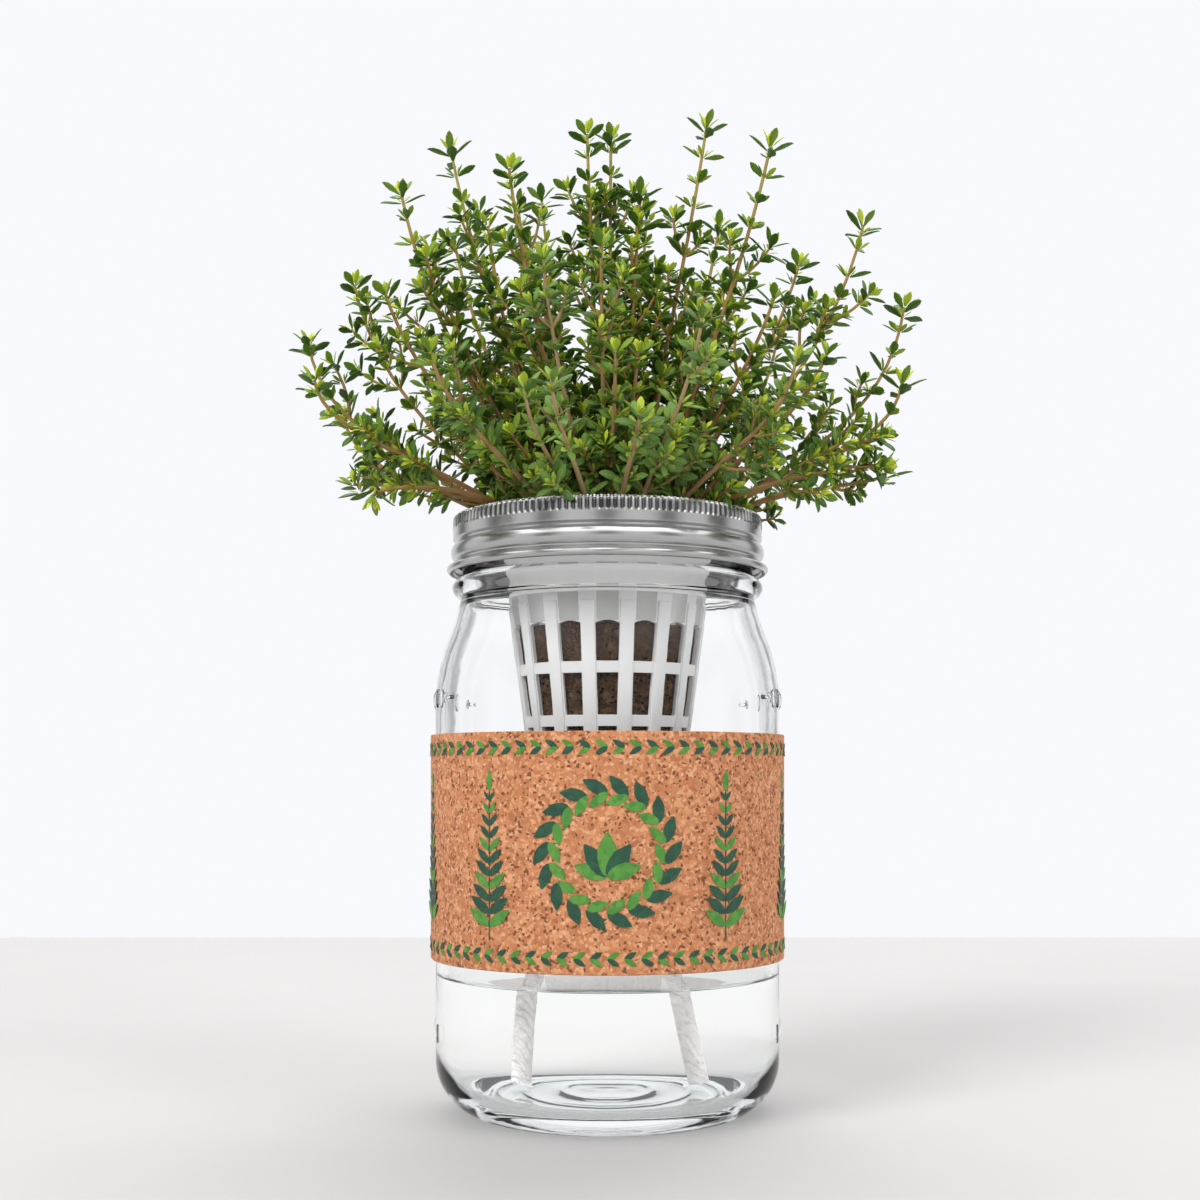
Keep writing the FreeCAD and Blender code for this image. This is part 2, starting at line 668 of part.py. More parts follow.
def make_sprig(number, side_share, depth_share, height_share, lean_share):
    """One sprig of thyme: a square stem from the plug, over the rim, with whorls of small leaves."""
    out = FreeCAD.Vector(side_share * size("plant_half"), depth_share * size("plant_deep"), 0)
    reach = out.Length
    out = out / reach
    side = FreeCAD.Vector(-out.y, out.x, 0)
    up = FreeCAD.Vector(0, 0, 1)
    spread_share = min(reach / size("plant_half"), 1)
    root = out * (size("root_reach") * spread_share)
    root.z = value(PLUG_TOP) - size("dish_deep") + size("seat_gap")
    rim = out * (size("pass_reach") * spread_share)
    rim.z = value(BAND_TOP) + size("pass_height")
    tip = out * reach
    tip.z = value(BAND_TOP) + height_share * size("plant_tall")
    low_share = (1 - lean_share) / 2
    bend = rim + out * ((reach - rim.dot(out)) * (1 - low_share))
    bend.z = rim.z + (tip.z - rim.z) * low_share

    def along_sprig(share):
        rest = 1 - share
        place = rim * (rest * rest) + bend * (2 * share * rest) + tip * (share * share)
        way = (bend - rim) * rest + (tip - bend) * share
        return place, way.normalize()

    free_length = (tip - rim).Length
    first_share = size("bare_stem") / free_length
    count = max(int((free_length - size("bare_stem")) / size("whorl_pitch")), 1)
    surface = Surface()

    def ring_at(place, way, share):
        thick = size("stem_thick") + (size("stem_tip") - size("stem_thick")) * share
        return surface.add_ring(place, thick / 2, side, side.cross(way) * -1), thick / 2

    last, half = ring_at(root, up, 0)
    surface.faces.append((last[0], last[2], last[1]))
    surface.faces.append((last[0], last[3], last[2]))
    lift = root + up * (size("stem_thick") * 2)
    for place, way in ((lift, up), (rim, (bend - rim + up * size("bare_stem")).normalize())):
        ring, half = ring_at(place, way, 0)
        surface.join(last, ring)
        last = ring
    for index in range(count + 1):
        share = first_share + (1 - first_share) * index / count
        place, way = along_sprig(share)
        low, half = ring_at(place - way * (size("leaf_heart") / 2), way, share)
        surface.join(last, low)
        if index < count:
            high, half = ring_at(place + way * (size("leaf_heart") / 2), way, share)
        else:
            high = surface.add(place + way * size("leaf_rise"))
        add_whorl(surface, low, place, half, way, side, side.cross(way) * -1, high)
        last = high
    label = "thyme_sprig_%02d" % number
    sprig = doc.addObject("Part::Feature", label)
    sprig.Label = label
    sprig.Shape = surface.to_solid()
    sprig.Placement = FreeCAD.Placement()
    return sprig


pieces = [
    make_jar(),
    make_band(),
    make_cup(),
    make_plug(),
    make_sleeve(),
    make_wick("wick_left", wick_route(WICK_LEFT_SHARES, -1)),
    make_wick("wick_right", wick_route(WICK_RIGHT_SHARES, 1)),
]
for number, shares in enumerate(SPRIG_SHARES, start=1):
    pieces.append(make_sprig(number, *shares))
doc.recompute()

failed = [item.Name for item in doc.Objects if "Invalid" in item.State or "Error" in item.State]
if failed:
    raise RuntimeError("features that failed: " + ", ".join(failed))
for piece in pieces:
    if piece.Shape.isNull() or not piece.Shape.isValid():
        raise RuntimeError(piece.Label + " has no valid shape")

os.makedirs("parts", exist_ok=True)
for piece in pieces:
    piece.Shape.exportStep(os.path.join("parts", piece.Label + ".step"))
print(len(pieces), "pieces written")
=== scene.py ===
import math
import random

import bpy
from mathutils import Matrix, Vector


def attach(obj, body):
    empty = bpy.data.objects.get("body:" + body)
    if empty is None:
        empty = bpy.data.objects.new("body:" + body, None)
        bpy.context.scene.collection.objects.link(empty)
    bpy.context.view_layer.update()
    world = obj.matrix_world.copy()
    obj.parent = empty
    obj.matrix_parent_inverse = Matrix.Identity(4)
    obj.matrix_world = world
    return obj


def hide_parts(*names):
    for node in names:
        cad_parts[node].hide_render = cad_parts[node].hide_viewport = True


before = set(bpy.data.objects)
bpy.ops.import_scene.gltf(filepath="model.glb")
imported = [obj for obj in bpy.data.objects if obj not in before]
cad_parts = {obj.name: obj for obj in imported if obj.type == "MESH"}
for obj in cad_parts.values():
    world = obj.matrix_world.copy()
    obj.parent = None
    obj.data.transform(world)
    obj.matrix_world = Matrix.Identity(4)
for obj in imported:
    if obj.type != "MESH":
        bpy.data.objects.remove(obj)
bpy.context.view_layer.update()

# Hydroponic jar planter. Lengths are in millimetres and turned to metres where a piece is made.
# The jar's axis is Z, the front faces -Y, and the ground is at zero.

MM = 0.001
GLASS_STEPS = 160
BAND_TOP = 169.1
FLUTES = 148
STEEL_STEPS = 4 * FLUTES
CUP_RIBS = 16

# ---------------------------------------- camera and light


def set_camera():
    """The camera stands level with the cork sleeve and looks straight at the jar."""
    lens = bpy.data.cameras.new("photo_camera")
    lens.sensor_width = 36
    lens.lens = 51
    lens.shift_x = -0.00625
    lens.shift_y = 0.15
    lens.clip_start = 0.01
    camera = bpy.data.objects.new("photo_camera", lens)
    bpy.context.scene.collection.objects.link(camera)
    camera.location = (0, -0.487, 0.0943)
    camera.rotation_euler = (math.radians(90), 0, 0)
    bpy.context.scene.camera = camera


set_camera()

# ---------------------------------------- hand tools


def take(*pieces):
    """Select these pieces alone, with the first one active."""
    bpy.ops.object.select_all(action="DESELECT")
    for piece in pieces:
        piece.select_set(True)
    bpy.context.view_layer.objects.active = pieces[0]


def fresh(add, **settings):
    """A new primitive, alone in the selection."""
    bpy.ops.object.select_all(action="DESELECT")
    add(**settings)
    return bpy.context.object


def open_edit(piece):
    """Edit mode, with all corners of the piece selected."""
    take(piece)
    bpy.ops.object.mode_set(mode="EDIT")
    bpy.ops.mesh.select_mode(type="VERT")
    bpy.ops.mesh.select_all(action="SELECT")


def close_edit():
    bpy.ops.object.mode_set(mode="OBJECT")


def pick(piece, test):
    """In edit mode, select only the corners whose place passes the test."""
    bpy.ops.mesh.select_all(action="DESELECT")
    close_edit()
    for corner in piece.data.vertices:
        corner.select = bool(test(corner.co))
    bpy.ops.object.mode_set(mode="EDIT")


def stretch(across, deep, tall):
    """Scale the selected corners from the origin."""
    bpy.ops.transform.resize(value=(across, deep, tall), center_override=(0, 0, 0))


def shift(*move):
    """Move the selected corners."""
    bpy.ops.transform.translate(value=[value * MM for value in move])


def settle(piece, angle=35):
    """Faces outwards, smooth where they meet softly, and the place kept in the mesh."""
    open_edit(piece)
    bpy.ops.mesh.normals_make_consistent(inside=False)
    close_edit()
    bpy.ops.object.shade_smooth_by_angle(angle=math.radians(angle))
    bpy.ops.object.transform_apply(location=True, rotation=True, scale=True)
    return piece


def apply_modifier(piece, kind, **settings):
    take(piece)
    modifier = piece.modifiers.new(kind.lower(), kind)
    for name, setting in settings.items():
        setattr(modifier, name, setting)
    bpy.ops.object.modifier_apply(modifier=modifier.name)


def copied(source, place):
    """A copy of a piece with a mesh of its own, put in its place."""
    piece = source.copy()
    piece.data = source.data.copy()
    piece.data.transform(place)
    bpy.context.scene.collection.objects.link(piece)
    return piece


def joined(name, pieces):
    """Pieces made one, in the place of the first."""
    take(*pieces)
    if len(pieces) > 1:
        bpy.ops.object.join()
    piece = bpy.context.object
    piece.name = name
    piece.data.name = name
    return piece


def arc(across, up, radius, first, last, steps):
    """Points on an arc round a centre, from one angle to another in degrees."""
    points = []
    for step in range(steps + 1):
        turn = math.radians(first + (last - first) * step / steps)
        points.append((across + radius * math.cos(turn), up + radius * math.sin(turn)))
    return points


def drawn_line(name, points):
    """A line of corners in the XZ plane: a small plane merged to one corner and extruded on."""
    piece = fresh(bpy.ops.mesh.primitive_plane_add, size=MM)
    piece.name = name
    piece.data.name = name
    open_edit(piece)
    bpy.ops.mesh.merge(type="CENTER")
    last = Vector((0, 0, 0))
    for index, (across, up) in enumerate(points):
        place = Vector((across, 0, up)) * MM
        if index == 0:
            bpy.ops.transform.translate(value=place)
        else:
            bpy.ops.mesh.extrude_vertices_move(TRANSFORM_OT_translate={"value": place - last})
        last = place
    close_edit()
    return piece


def turned(name, points, steps=GLASS_STEPS, closed=True, angle=35):
    """A piece turned on the jar's axis from its section."""
    piece = drawn_line(name, points + points[:1] if closed else points)
    open_edit(piece)
    bpy.ops.mesh.remove_doubles(threshold=1e-7)
    bpy.ops.mesh.spin(steps=steps, angle=2 * math.pi, center=(0, 0, 0), axis=(0, 0, 1))
    bpy.ops.mesh.select_all(action="SELECT")
    bpy.ops.mesh.remove_doubles(threshold=1e-6)
    close_edit()
    return settle(piece, angle)


def as_mesh(piece):
    take(piece)
    bpy.ops.object.convert(target="MESH")
    return bpy.context.object


def tube(name, kind, route, thick, around):
    """A round tube on a line of places in metres, and the line itself."""
    line = bpy.data.curves.new(name, "CURVE")
    line.dimensions = "3D"
    spline = line.splines.new(kind)
    spline.points.add(len(route) - 1)
    for point, place in zip(spline.points, route):
        point.co = (*place, 1)
    line.bevel_depth = thick / 2 * MM
    line.bevel_resolution = around
    line.use_fill_caps = True
    piece = bpy.data.objects.new(name, line)
    bpy.context.scene.collection.objects.link(piece)
    return piece, spline


def coat(piece, material):
    """Give the piece this one material."""
    piece.data.materials.clear()
    piece.data.materials.append(material)


def finish_piece(piece, material, body, slot=None, *nodes):
    """Its material, the body it rides and the CAD nodes whose place it takes. The slot is not used.
    """
    coat(piece, material)
    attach(piece, body)
    if nodes:
        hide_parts(*nodes)


# ---------------------------------------- finishes


def opaque(value):
    """A colour with its full alpha; anything else stays as it is."""
    return (*value, 1) if isinstance(value, tuple) else value


class Net:
    """The nodes of one tree, with short ways to add them. A value is a number or a socket."""

    def __init__(self, tree):
        self.tree = tree

    def link(self, source, target):
        self.tree.links.new(source, target)

    def add(self, kind, inputs=None, **settings):
        """A node with its settings, and its inputs set or linked. Gives its outputs."""
        made = self.tree.nodes.new("ShaderNode" + kind)
        for name, setting in settings.items():
            setattr(made, name, setting)
        for name, value in (inputs or {}).items():
            if isinstance(value, bpy.types.NodeSocket):
                self.link(value, made.inputs[name])
            else:
                made.inputs[name].default_value = value
        return made.outputs

    def math(self, operation, first, second=0.0, clamp=False):
        return self.add("Math", {0: first, 1: second}, operation=operation, use_clamp=clamp)[0]

    def times(self, product, *others):
        for other in others:
            product = self.math("MULTIPLY", product, other)
        return product

    def vector(self, operation, first, second=(0, 0, 0)):
        return self.add("VectorMath", {0: first, 1: second}, operation=operation)

    def axes(self, place):
        return self.add("SeparateXYZ", {0: place})

    def turn(self, parts):
        """The angle round Z, in radians."""
        return self.math("ARCTAN2", parts["Y"], parts["X"])

    def noise(self, place, scale, detail, roughness=0.5):
        return self.add("TexNoise", {"Vector": place, "Scale": scale, "Detail": detail,
                                     "Roughness": roughness})

    def ranged(self, value, low, high, first=0.0, last=1.0, soft=False):
        """A value taken from one range to another and kept inside it."""
        return self.add("MapRange", {0: value, 1: low, 2: high, 3: first, 4: last},
                        interpolation_type="SMOOTHSTEP" if soft else "LINEAR")[0]

    def mix(self, share, first, second, blend="MIX"):
        """Two colours, mixed by the share of the second."""
        return self.add("Mix", {0: share, 6: opaque(first), 7: opaque(second)},
                        data_type="RGBA", blend_type=blend)[2]

    def ramp(self, value, *stops):
        """A colour ramp: each stop is its place and its colour."""
        shade = self.add("ValToRGB", {"Fac": value})["Color"]
        band = shade.node.color_ramp
        while len(band.elements) < len(stops):
            band.elements.new(0.5)
        for element, (place, colour) in zip(band.elements, stops):
            element.position = place
            element.color = opaque(colour)
        return shade


class Finish(Net):
    """A material with its shader and the piece's own coordinates."""

    def __init__(self, name, **constants):
        self.material = bpy.data.materials.new(name)
        self.material.use_nodes = True
        super().__init__(self.material.node_tree)
        self.shader = self.tree.nodes["Principled BSDF"]
        for label, value in constants.items():
            self.shader.inputs[label.replace("_", " ")].default_value = opaque(value)
        self.place = self.add("TexCoord")["Object"]

    def feed(self, **sources):
        """Link these sockets to the shader's inputs."""
        for label, source in sources.items():
            self.link(source, self.shader.inputs[label.replace("_", " ")])

    def group(self, tree, **inputs):
        return self.add("Group", {"Vector": self.place, **inputs}, node_tree=tree)

    def spread(self, uneven, amount):
        """The uneven tone as a shift to both sides of zero."""
        return self.times(self.math("SUBTRACT", uneven["Tone"], 0.5), amount)

    def bump(self, height, strength, depth):
        """Fine relief, its depth in millimetres."""
        relief = self.add("Bump", {"Height": height, "Strength": strength,
                                   "Distance": depth * MM})
        self.feed(Normal=relief[0])

    def clear_for_shadows(self, share):
        """Let this share of the light through where the piece would cast a shadow."""
        amount = self.times(self.add("LightPath")["Is Shadow Ray"], share)
        clear = self.add("BsdfTransparent", {"Color": (0.985, 0.99, 0.99, 1)})
        both = self.add("MixShader", {0: amount, 1: self.shader.outputs[0], 2: clear[0]})
        self.link(both[0], self.tree.nodes["Material Output"].inputs["Surface"])


def new_group(name, inputs, outputs):
    """A node group: its net, what it is given and what it gives."""
    tree = bpy.data.node_groups.new(name, "ShaderNodeTree")
    tree.interface.new_socket("Vector", in_out="INPUT", socket_type="NodeSocketVector")
    for label, value in inputs.items():
        socket = tree.interface.new_socket(label, in_out="INPUT", socket_type="NodeSocketFloat")
        socket.default_value = value
    for label in outputs:
        tree.interface.new_socket(label, in_out="OUTPUT", socket_type="NodeSocketFloat")
    given = tree.nodes.new("NodeGroupInput").outputs
    return Net(tree), given, tree.nodes.new("NodeGroupOutput").inputs


def make_mottle():
    """Soft uneven tone: a mask of slow noise and a height of fine noise."""
    net, given, out = new_group("Mottle", {"Slow": 60.0, "Fine": 900.0}, ("Tone", "Height"))
    slow = net.noise(given["Vector"], given["Slow"], 3.0, 0.6)
    fine = net.noise(given["Vector"], given["Fine"], 4.0, 0.65)
    net.link(slow["Fac"], out["Tone"])
    net.link(fine["Fac"], out["Height"])
    return net.tree


def make_chips():
    """Pressed chips, as in cork and coir: each chip's tone, the dark seams, and a height."""
    net, given, out = new_group("Pressed chips", {"Scale": 500.0, "Ragged": 0.002},
                                ("Tone", "Seam", "Height"))
    stir = net.noise(given["Vector"], 420.0, 3.0)["Color"]
    centred = net.vector("SUBTRACT", stir, (0.5, 0.5, 0.5))[0]
    pushed = net.add("VectorMath", {0: centred, "Scale": given["Ragged"]}, operation="SCALE")
    place = net.vector("ADD", given["Vector"], pushed[0])[0]
    chips = net.add("TexVoronoi", {"Vector": place, "Scale": given["Scale"]})
    edges = net.add("TexVoronoi", {"Vector": place, "Scale": given["Scale"]},
                    feature="DISTANCE_TO_EDGE")
    seam = net.ranged(edges["Distance"], 0.0, 0.12, 1.0, 0.0)
    fine = net.noise(given["Vector"], 1500.0, 3.0)["Fac"]
    net.link(net.add("SeparateColor", {0: chips["Color"]})[0], out["Tone"])
    net.link(seam, out["Seam"])
    net.link(net.math("SUBTRACT", fine, seam), out["Height"])
    return net.tree


MOTTLE = make_mottle()
CHIPS = make_chips()

# How strongly the heel and the rest of the glass bend light, and the heights between which that
# changes. With its true value down to the foot, the heel would trap the light and turn black.
HEEL_IOR, GLASS_IOR = 1.2, 1.47
HEEL_FROM, HEEL_TO = 12 * MM, 34 * MM


def glass_finish():
    net = Finish("clear_jar_glass", Base_Color=(0.985, 0.993, 0.99), Roughness=0.0,
                 IOR=GLASS_IOR, Transmission_Weight=1.0, Specular_Tint=(0.22, 0.22, 0.22))
    height = net.axes(net.place)["Z"]
    net.feed(IOR=net.ranged(height, HEEL_FROM, HEEL_TO, HEEL_IOR, GLASS_IOR, soft=True))
    net.bump(net.group(MOTTLE, Slow=45.0, Fine=120.0)["Tone"], 0.35, 0.25)
    net.clear_for_shadows(0.97)
    return net.material


def water_finish():
    """Water that bends light little, so that the wicks stay in one line at its surface."""
    net = Finish("water", Base_Color=(0.985, 0.995, 0.995), Roughness=0.0, IOR=1.08,
                 Transmission_Weight=1.0, Specular_Tint=(0.6, 0.6, 0.6))
    net.bump(net.group(MOTTLE, Slow=35.0, Fine=90.0)["Tone"], 0.1, 0.1)
    net.clear_for_shadows(1.0)
    return net.material


# The flutes' ends and the radii of their hollows and of the face between them, where painted shade
# darkens the steel.
FLUTE_FROM, FLUTE_TO = 165.0 * MM, 168.2 * MM
FLUTE_HOLLOW, FLUTE_FACE = 43.6 * MM, 43.95 * MM


def steel_finish():
    """Tinned steel: satin, with fine lines round the ring, dull spots and painted shade darkening
    the flutes.
    """
    net = Finish("satin_steel", Metallic=1.0)
    parts = net.axes(net.place)
    lines_at = net.add("CombineXYZ", {"X": net.times(net.turn(parts), 0.6),
                                      "Y": net.times(parts["Z"], 2600.0)})
    uneven = net.group(MOTTLE, Slow=90.0, Fine=1400.0)
    shade = net.mix(uneven["Tone"], (0.4, 0.4, 0.4), (0.52, 0.52, 0.515))
    level = net.vector("MULTIPLY", net.place, (1, 1, 0))[0]
    deep = net.ranged(net.vector("LENGTH", level)["Value"], FLUTE_FACE, FLUTE_HOLLOW)
    above = net.math("GREATER_THAN", parts["Z"], FLUTE_FROM)
    below = net.math("LESS_THAN", parts["Z"], FLUTE_TO)
    # Painted shade: the flutes' hollows are darkened in the colour, as if shadowed.
    groove = net.times(deep, above, below, 0.8)
    net.feed(Base_Color=net.mix(groove, shade, (0.06, 0.06, 0.06)),
             Roughness=net.ranged(uneven["Tone"], 0, 1, 0.19, 0.3))
    net.bump(net.noise(lines_at[0], 1.0, 2.0)["Fac"], 0.12, 0.05)
    return net.material


# The cup is frosted between its ribs from the collar up, and all round from the neck up, where it
# also has a faint painted glow.
COLLAR_FROM, NECK_FROM, NECK_TO = 137.2 * MM, 147.2 * MM, 166.9 * MM


def white_plastic_finish():
    """Net cup: opaque ribs and rings, a frosted collar that lets the light through, and a painted
    glow in the neck.
    """
    net = Finish("white_cup_plastic", Base_Color=(0.86, 0.855, 0.85), IOR=1.46)
    uneven = net.group(MOTTLE, Slow=120.0, Fine=1800.0)
    parts = net.axes(net.place)
    wave = net.math("COSINE", net.times(net.turn(parts), float(CUP_RIBS)))
    between = net.math("GREATER_THAN", wave, -0.15)
    collar = net.math("GREATER_THAN", parts["Z"], COLLAR_FROM)
    neck = net.math("GREATER_THAN", parts["Z"], NECK_FROM)
    below = net.math("LESS_THAN", parts["Z"], NECK_TO)
    frosted = net.times(net.math("MAXIMUM", net.times(collar, between), neck), below)
    veil = net.ranged(neck, 0, 1, 0.5, 0.86)
    net.feed(Alpha=net.ranged(frosted, 0, 1, 1.0, veil),
             # Painted light: the frosted neck glows faintly, standing in for light that passes
             # through the plastic.
             Emission_Strength=net.times(neck, below, 0.2),
             Roughness=net.ranged(uneven["Tone"], 0, 1, 0.32, 0.48))
    net.bump(uneven["Height"], 0.15, 0.05)
    return net.material


def coir_finish():
    """Grow plug: pressed coir and peat with pale fibres and dark pores."""
    net = Finish("coir_plug", Roughness=0.95, Specular_IOR_Level=0.2)
    chips = net.group(CHIPS, Scale=620.0, Ragged=0.005)
    shade = net.ramp(chips["Tone"], (0.0, (0.085, 0.046, 0.024)), (0.6, (0.115, 0.066, 0.036)),
                     (0.93, (0.145, 0.088, 0.05)), (1.0, (0.2, 0.13, 0.08)))
    pores = net.add("TexVoronoi", {"Vector": net.place, "Scale": 600.0})
    pore = net.ranged(pores["Distance"], 0.24, 0.28, 1.0, 0.0)
    dark = net.math("MAXIMUM", pore, net.times(chips["Seam"], 0.45))
    net.feed(Base_Color=net.mix(dark, shade, (0.012, 0.006, 0.004)))
    net.bump(chips["Height"], 0.9, 0.6)
    return net.material


def cork_finish():
    """Cork: grains from pale to brown, a fine dry surface and a dark seam at the back."""
    net = Finish("pressed_cork")
    chips = net.group(CHIPS, Scale=900.0, Ragged=0.0022)
    specks = net.group(CHIPS, Scale=1500.0, Ragged=0.0016)
    uneven = net.group(MOTTLE, Slow=130.0, Fine=1600.0)
    parts = net.axes(net.place)
    near = net.math("LESS_THAN", net.math("ABSOLUTE", parts["X"]), 0.28 * MM)
    seam = net.times(near, net.math("GREATER_THAN", parts["Y"], 0.0))
    dark = net.math("GREATER_THAN", specks["Tone"], 0.91)
    light = net.math("LESS_THAN", specks["Tone"], 0.1)
    shade = net.ramp(chips["Tone"], (0.0, (0.38, 0.14, 0.056)), (0.2, (0.49, 0.19, 0.08)),
                     (0.62, (0.57, 0.235, 0.103)), (1.0, (0.7, 0.34, 0.17)))
    for mask, share, colour in ((dark, 0.85, (0.12, 0.038, 0.015)),
                                (light, 0.6, (0.78, 0.46, 0.27)),
                                (chips["Seam"], 0.22, (0.25, 0.09, 0.04)),
                                (seam, 0.8, (0.07, 0.028, 0.014))):
        shade = net.mix(net.times(mask, share), shade, colour)
    net.feed(Base_Color=shade, Roughness=net.ranged(uneven["Tone"], 0, 1, 0.74, 0.92))
    net.bump(specks["Height"], 0.35, 0.15)
    return net.material


def ink_finish(name, colour, other):
    """Printed ink on cork: the grain shows through it."""
    net = Finish(name, Roughness=0.7)
    chips = net.group(CHIPS, Scale=640.0, Ragged=0.0016)
    net.feed(Base_Color=net.mix(chips["Tone"], colour, other))
    net.bump(chips["Height"], 0.3, 0.12)
    return net.material


def cotton_finish():
    """Wick: loosely braided white cotton with a soft, uneven surface, and a faint painted glow in
    its own colour.
    """
    # Painted light: the cotton glows in its own colour, standing in for light that would reach it
    # inside the jar.
    net = Finish("braided_cotton", Roughness=0.9, Emission_Strength=0.3)
    uneven = net.group(MOTTLE, Slow=520.0, Fine=1700.0)
    shade = net.ramp(uneven["Tone"], (0.25, (0.7, 0.66, 0.65)), (0.5, (0.92, 0.89, 0.88)),
                     (0.75, (0.98, 0.97, 0.96)))
    strands = net.add("TexWave", {"Vector": net.place, "Scale": 210.0, "Distortion": 5.0,
                                  "Detail": 2.0}, bands_direction="DIAGONAL")
    net.feed(Base_Color=shade, Emission_Color=shade)
    net.bump(net.math("ADD", uneven["Tone"], strands["Fac"]), 0.9, 0.7)
    return net.material


def leaf_finish():
    """Thyme leaf: young leaves yellow-green, old ones deep green with a paler rib."""
    net = Finish("thyme_leaf", IOR=1.45, Specular_IOR_Level=0.36)
    tint, bloom = [net.add("Attribute", attribute_name=n)["Fac"] for n in ("tint", "bloom")]
    uneven = net.group(MOTTLE, Slow=70.0, Fine=1300.0)
    age = net.math("ADD", tint, net.spread(uneven, 0.35), clamp=True)
    shade = net.ramp(age, (0.0, (0.022, 0.06, 0.008)), (0.28, (0.068, 0.15, 0.014)),
                     (0.52, (0.18, 0.29, 0.02)), (0.78, (0.42, 0.52, 0.03)),
                     (1.0, (0.62, 0.68, 0.06)))
    shade = net.mix(net.times(bloom, 0.5), shade, (0.19, 0.31, 0.085))
    across = net.axes(net.add("UVMap", uv_map="UVMap")[0])["X"]
    rib = net.ranged(across, 0.0, 0.12, 0.45, 0.0)
    net.feed(Base_Color=net.mix(rib, shade, (0.34, 0.42, 0.11)),
             Roughness=net.ranged(uneven["Height"], 0, 1, 0.34, 0.62))
    net.bump(uneven["Height"], 0.25, 0.12)
    return net.material


def stem_finish():
    """Thyme stem: woody brown at the foot, green and tan towards the tip."""
    net = Finish("thyme_stem", Roughness=0.6)
    bloom = net.add("Attribute", attribute_name="bloom")["Fac"]
    away = net.vector("SUBTRACT", net.place, (0, 0, 0.165))[0]
    uneven = net.group(MOTTLE, Slow=110.0, Fine=1300.0)
    reach = net.math("ADD", net.vector("LENGTH", away)["Value"], net.spread(uneven, 0.06))
    age = net.ranged(reach, 0.02, 0.125)
    shade = net.ramp(age, (0.0, (0.22, 0.12, 0.045)), (0.4, (0.3, 0.165, 0.05)),
                     (0.75, (0.31, 0.21, 0.05)), (1.0, (0.28, 0.3, 0.05)))
    net.feed(Base_Color=net.mix(net.times(bloom, 0.75), shade, (0.45, 0.31, 0.17)))
    net.bump(uneven["Height"], 0.4, 0.2)
    return net.material


def floor_finish():
    """Pale floor: a faint mottle, a little glow where the glass shows it, and the backdrop's
    own tone far from the jar, where no lamp reaches."""
    net = Finish("pale_floor", Roughness=0.75)
    uneven = net.group(MOTTLE, Slow=9.0, Fine=150.0)
    shade = net.mix(uneven["Tone"], (0.5, 0.49, 0.485), (0.54, 0.53, 0.524))
    far = net.ranged(net.vector("LENGTH", net.place)["Value"], 0.8, 2.4, soft=True)
    glow = net.times(net.add("LightPath")["Is Transmission Ray"], 0.12)
    net.feed(Base_Color=net.mix(far, shade, (0, 0, 0)),
             Emission_Strength=net.math("MAXIMUM", far, glow),
             Emission_Color=net.mix(far, (1, 1, 1), (0.92, 0.925, 0.95)))
    return net.material


# ---------------------------------------- wicks

WICK_THICK = 5.5
WICK_LEFT = [(-13, 0, 103.8), (-13, 0, 90), (-15, -0.6, 75.06), (-18.4, -1.6, 56.8),
             (-20.8, -2.4, 38.96), (-22.2, -2.9, 21.94), (-22.9, -3, 7)]
WICK_RIGHT = [(13, 0, 103.8), (13, 0, 90), (13.9, -0.5, 75.06), (15.7, -1.3, 56.8),
              (18.3, -2.2, 38.96), (21.2, -3, 21.94), (24.3, -3.6, 7)]


def smooth_route(name, route, thick):
    """A round cord on one smooth curve that a route of points, in millimetres, leads."""
    piece, spline = tube(name, "NURBS", [Vector(place) * MM for place in route], thick, 5)
    spline.order_u = 3
    spline.use_endpoint_u = True
    spline.resolution_u = 12
    return piece


def make_wicks():
    cotton = cotton_finish()
    for name, route, length in (("wick_left", WICK_LEFT, 97.5), ("wick_right", WICK_RIGHT, 97.7)):
        cord = smooth_route("cotton_" + name, route, WICK_THICK)
        finish_piece(cord, cotton, "insert", "cotton", name)


make_wicks()

# ---------------------------------------- jar and water

SHOULDER_SLOPE, NECK_SLOPE = 22.3, 11


def hollow(across, up, radius, first, last):
    """The part of the shoulder that bends inwards, on one side of the place where it leans most."""
    slope = math.radians(SHOULDER_SLOPE)
    return arc(across + radius * math.cos(slope), up + radius * math.sin(slope), -radius,
               first, last, 5)[1:]


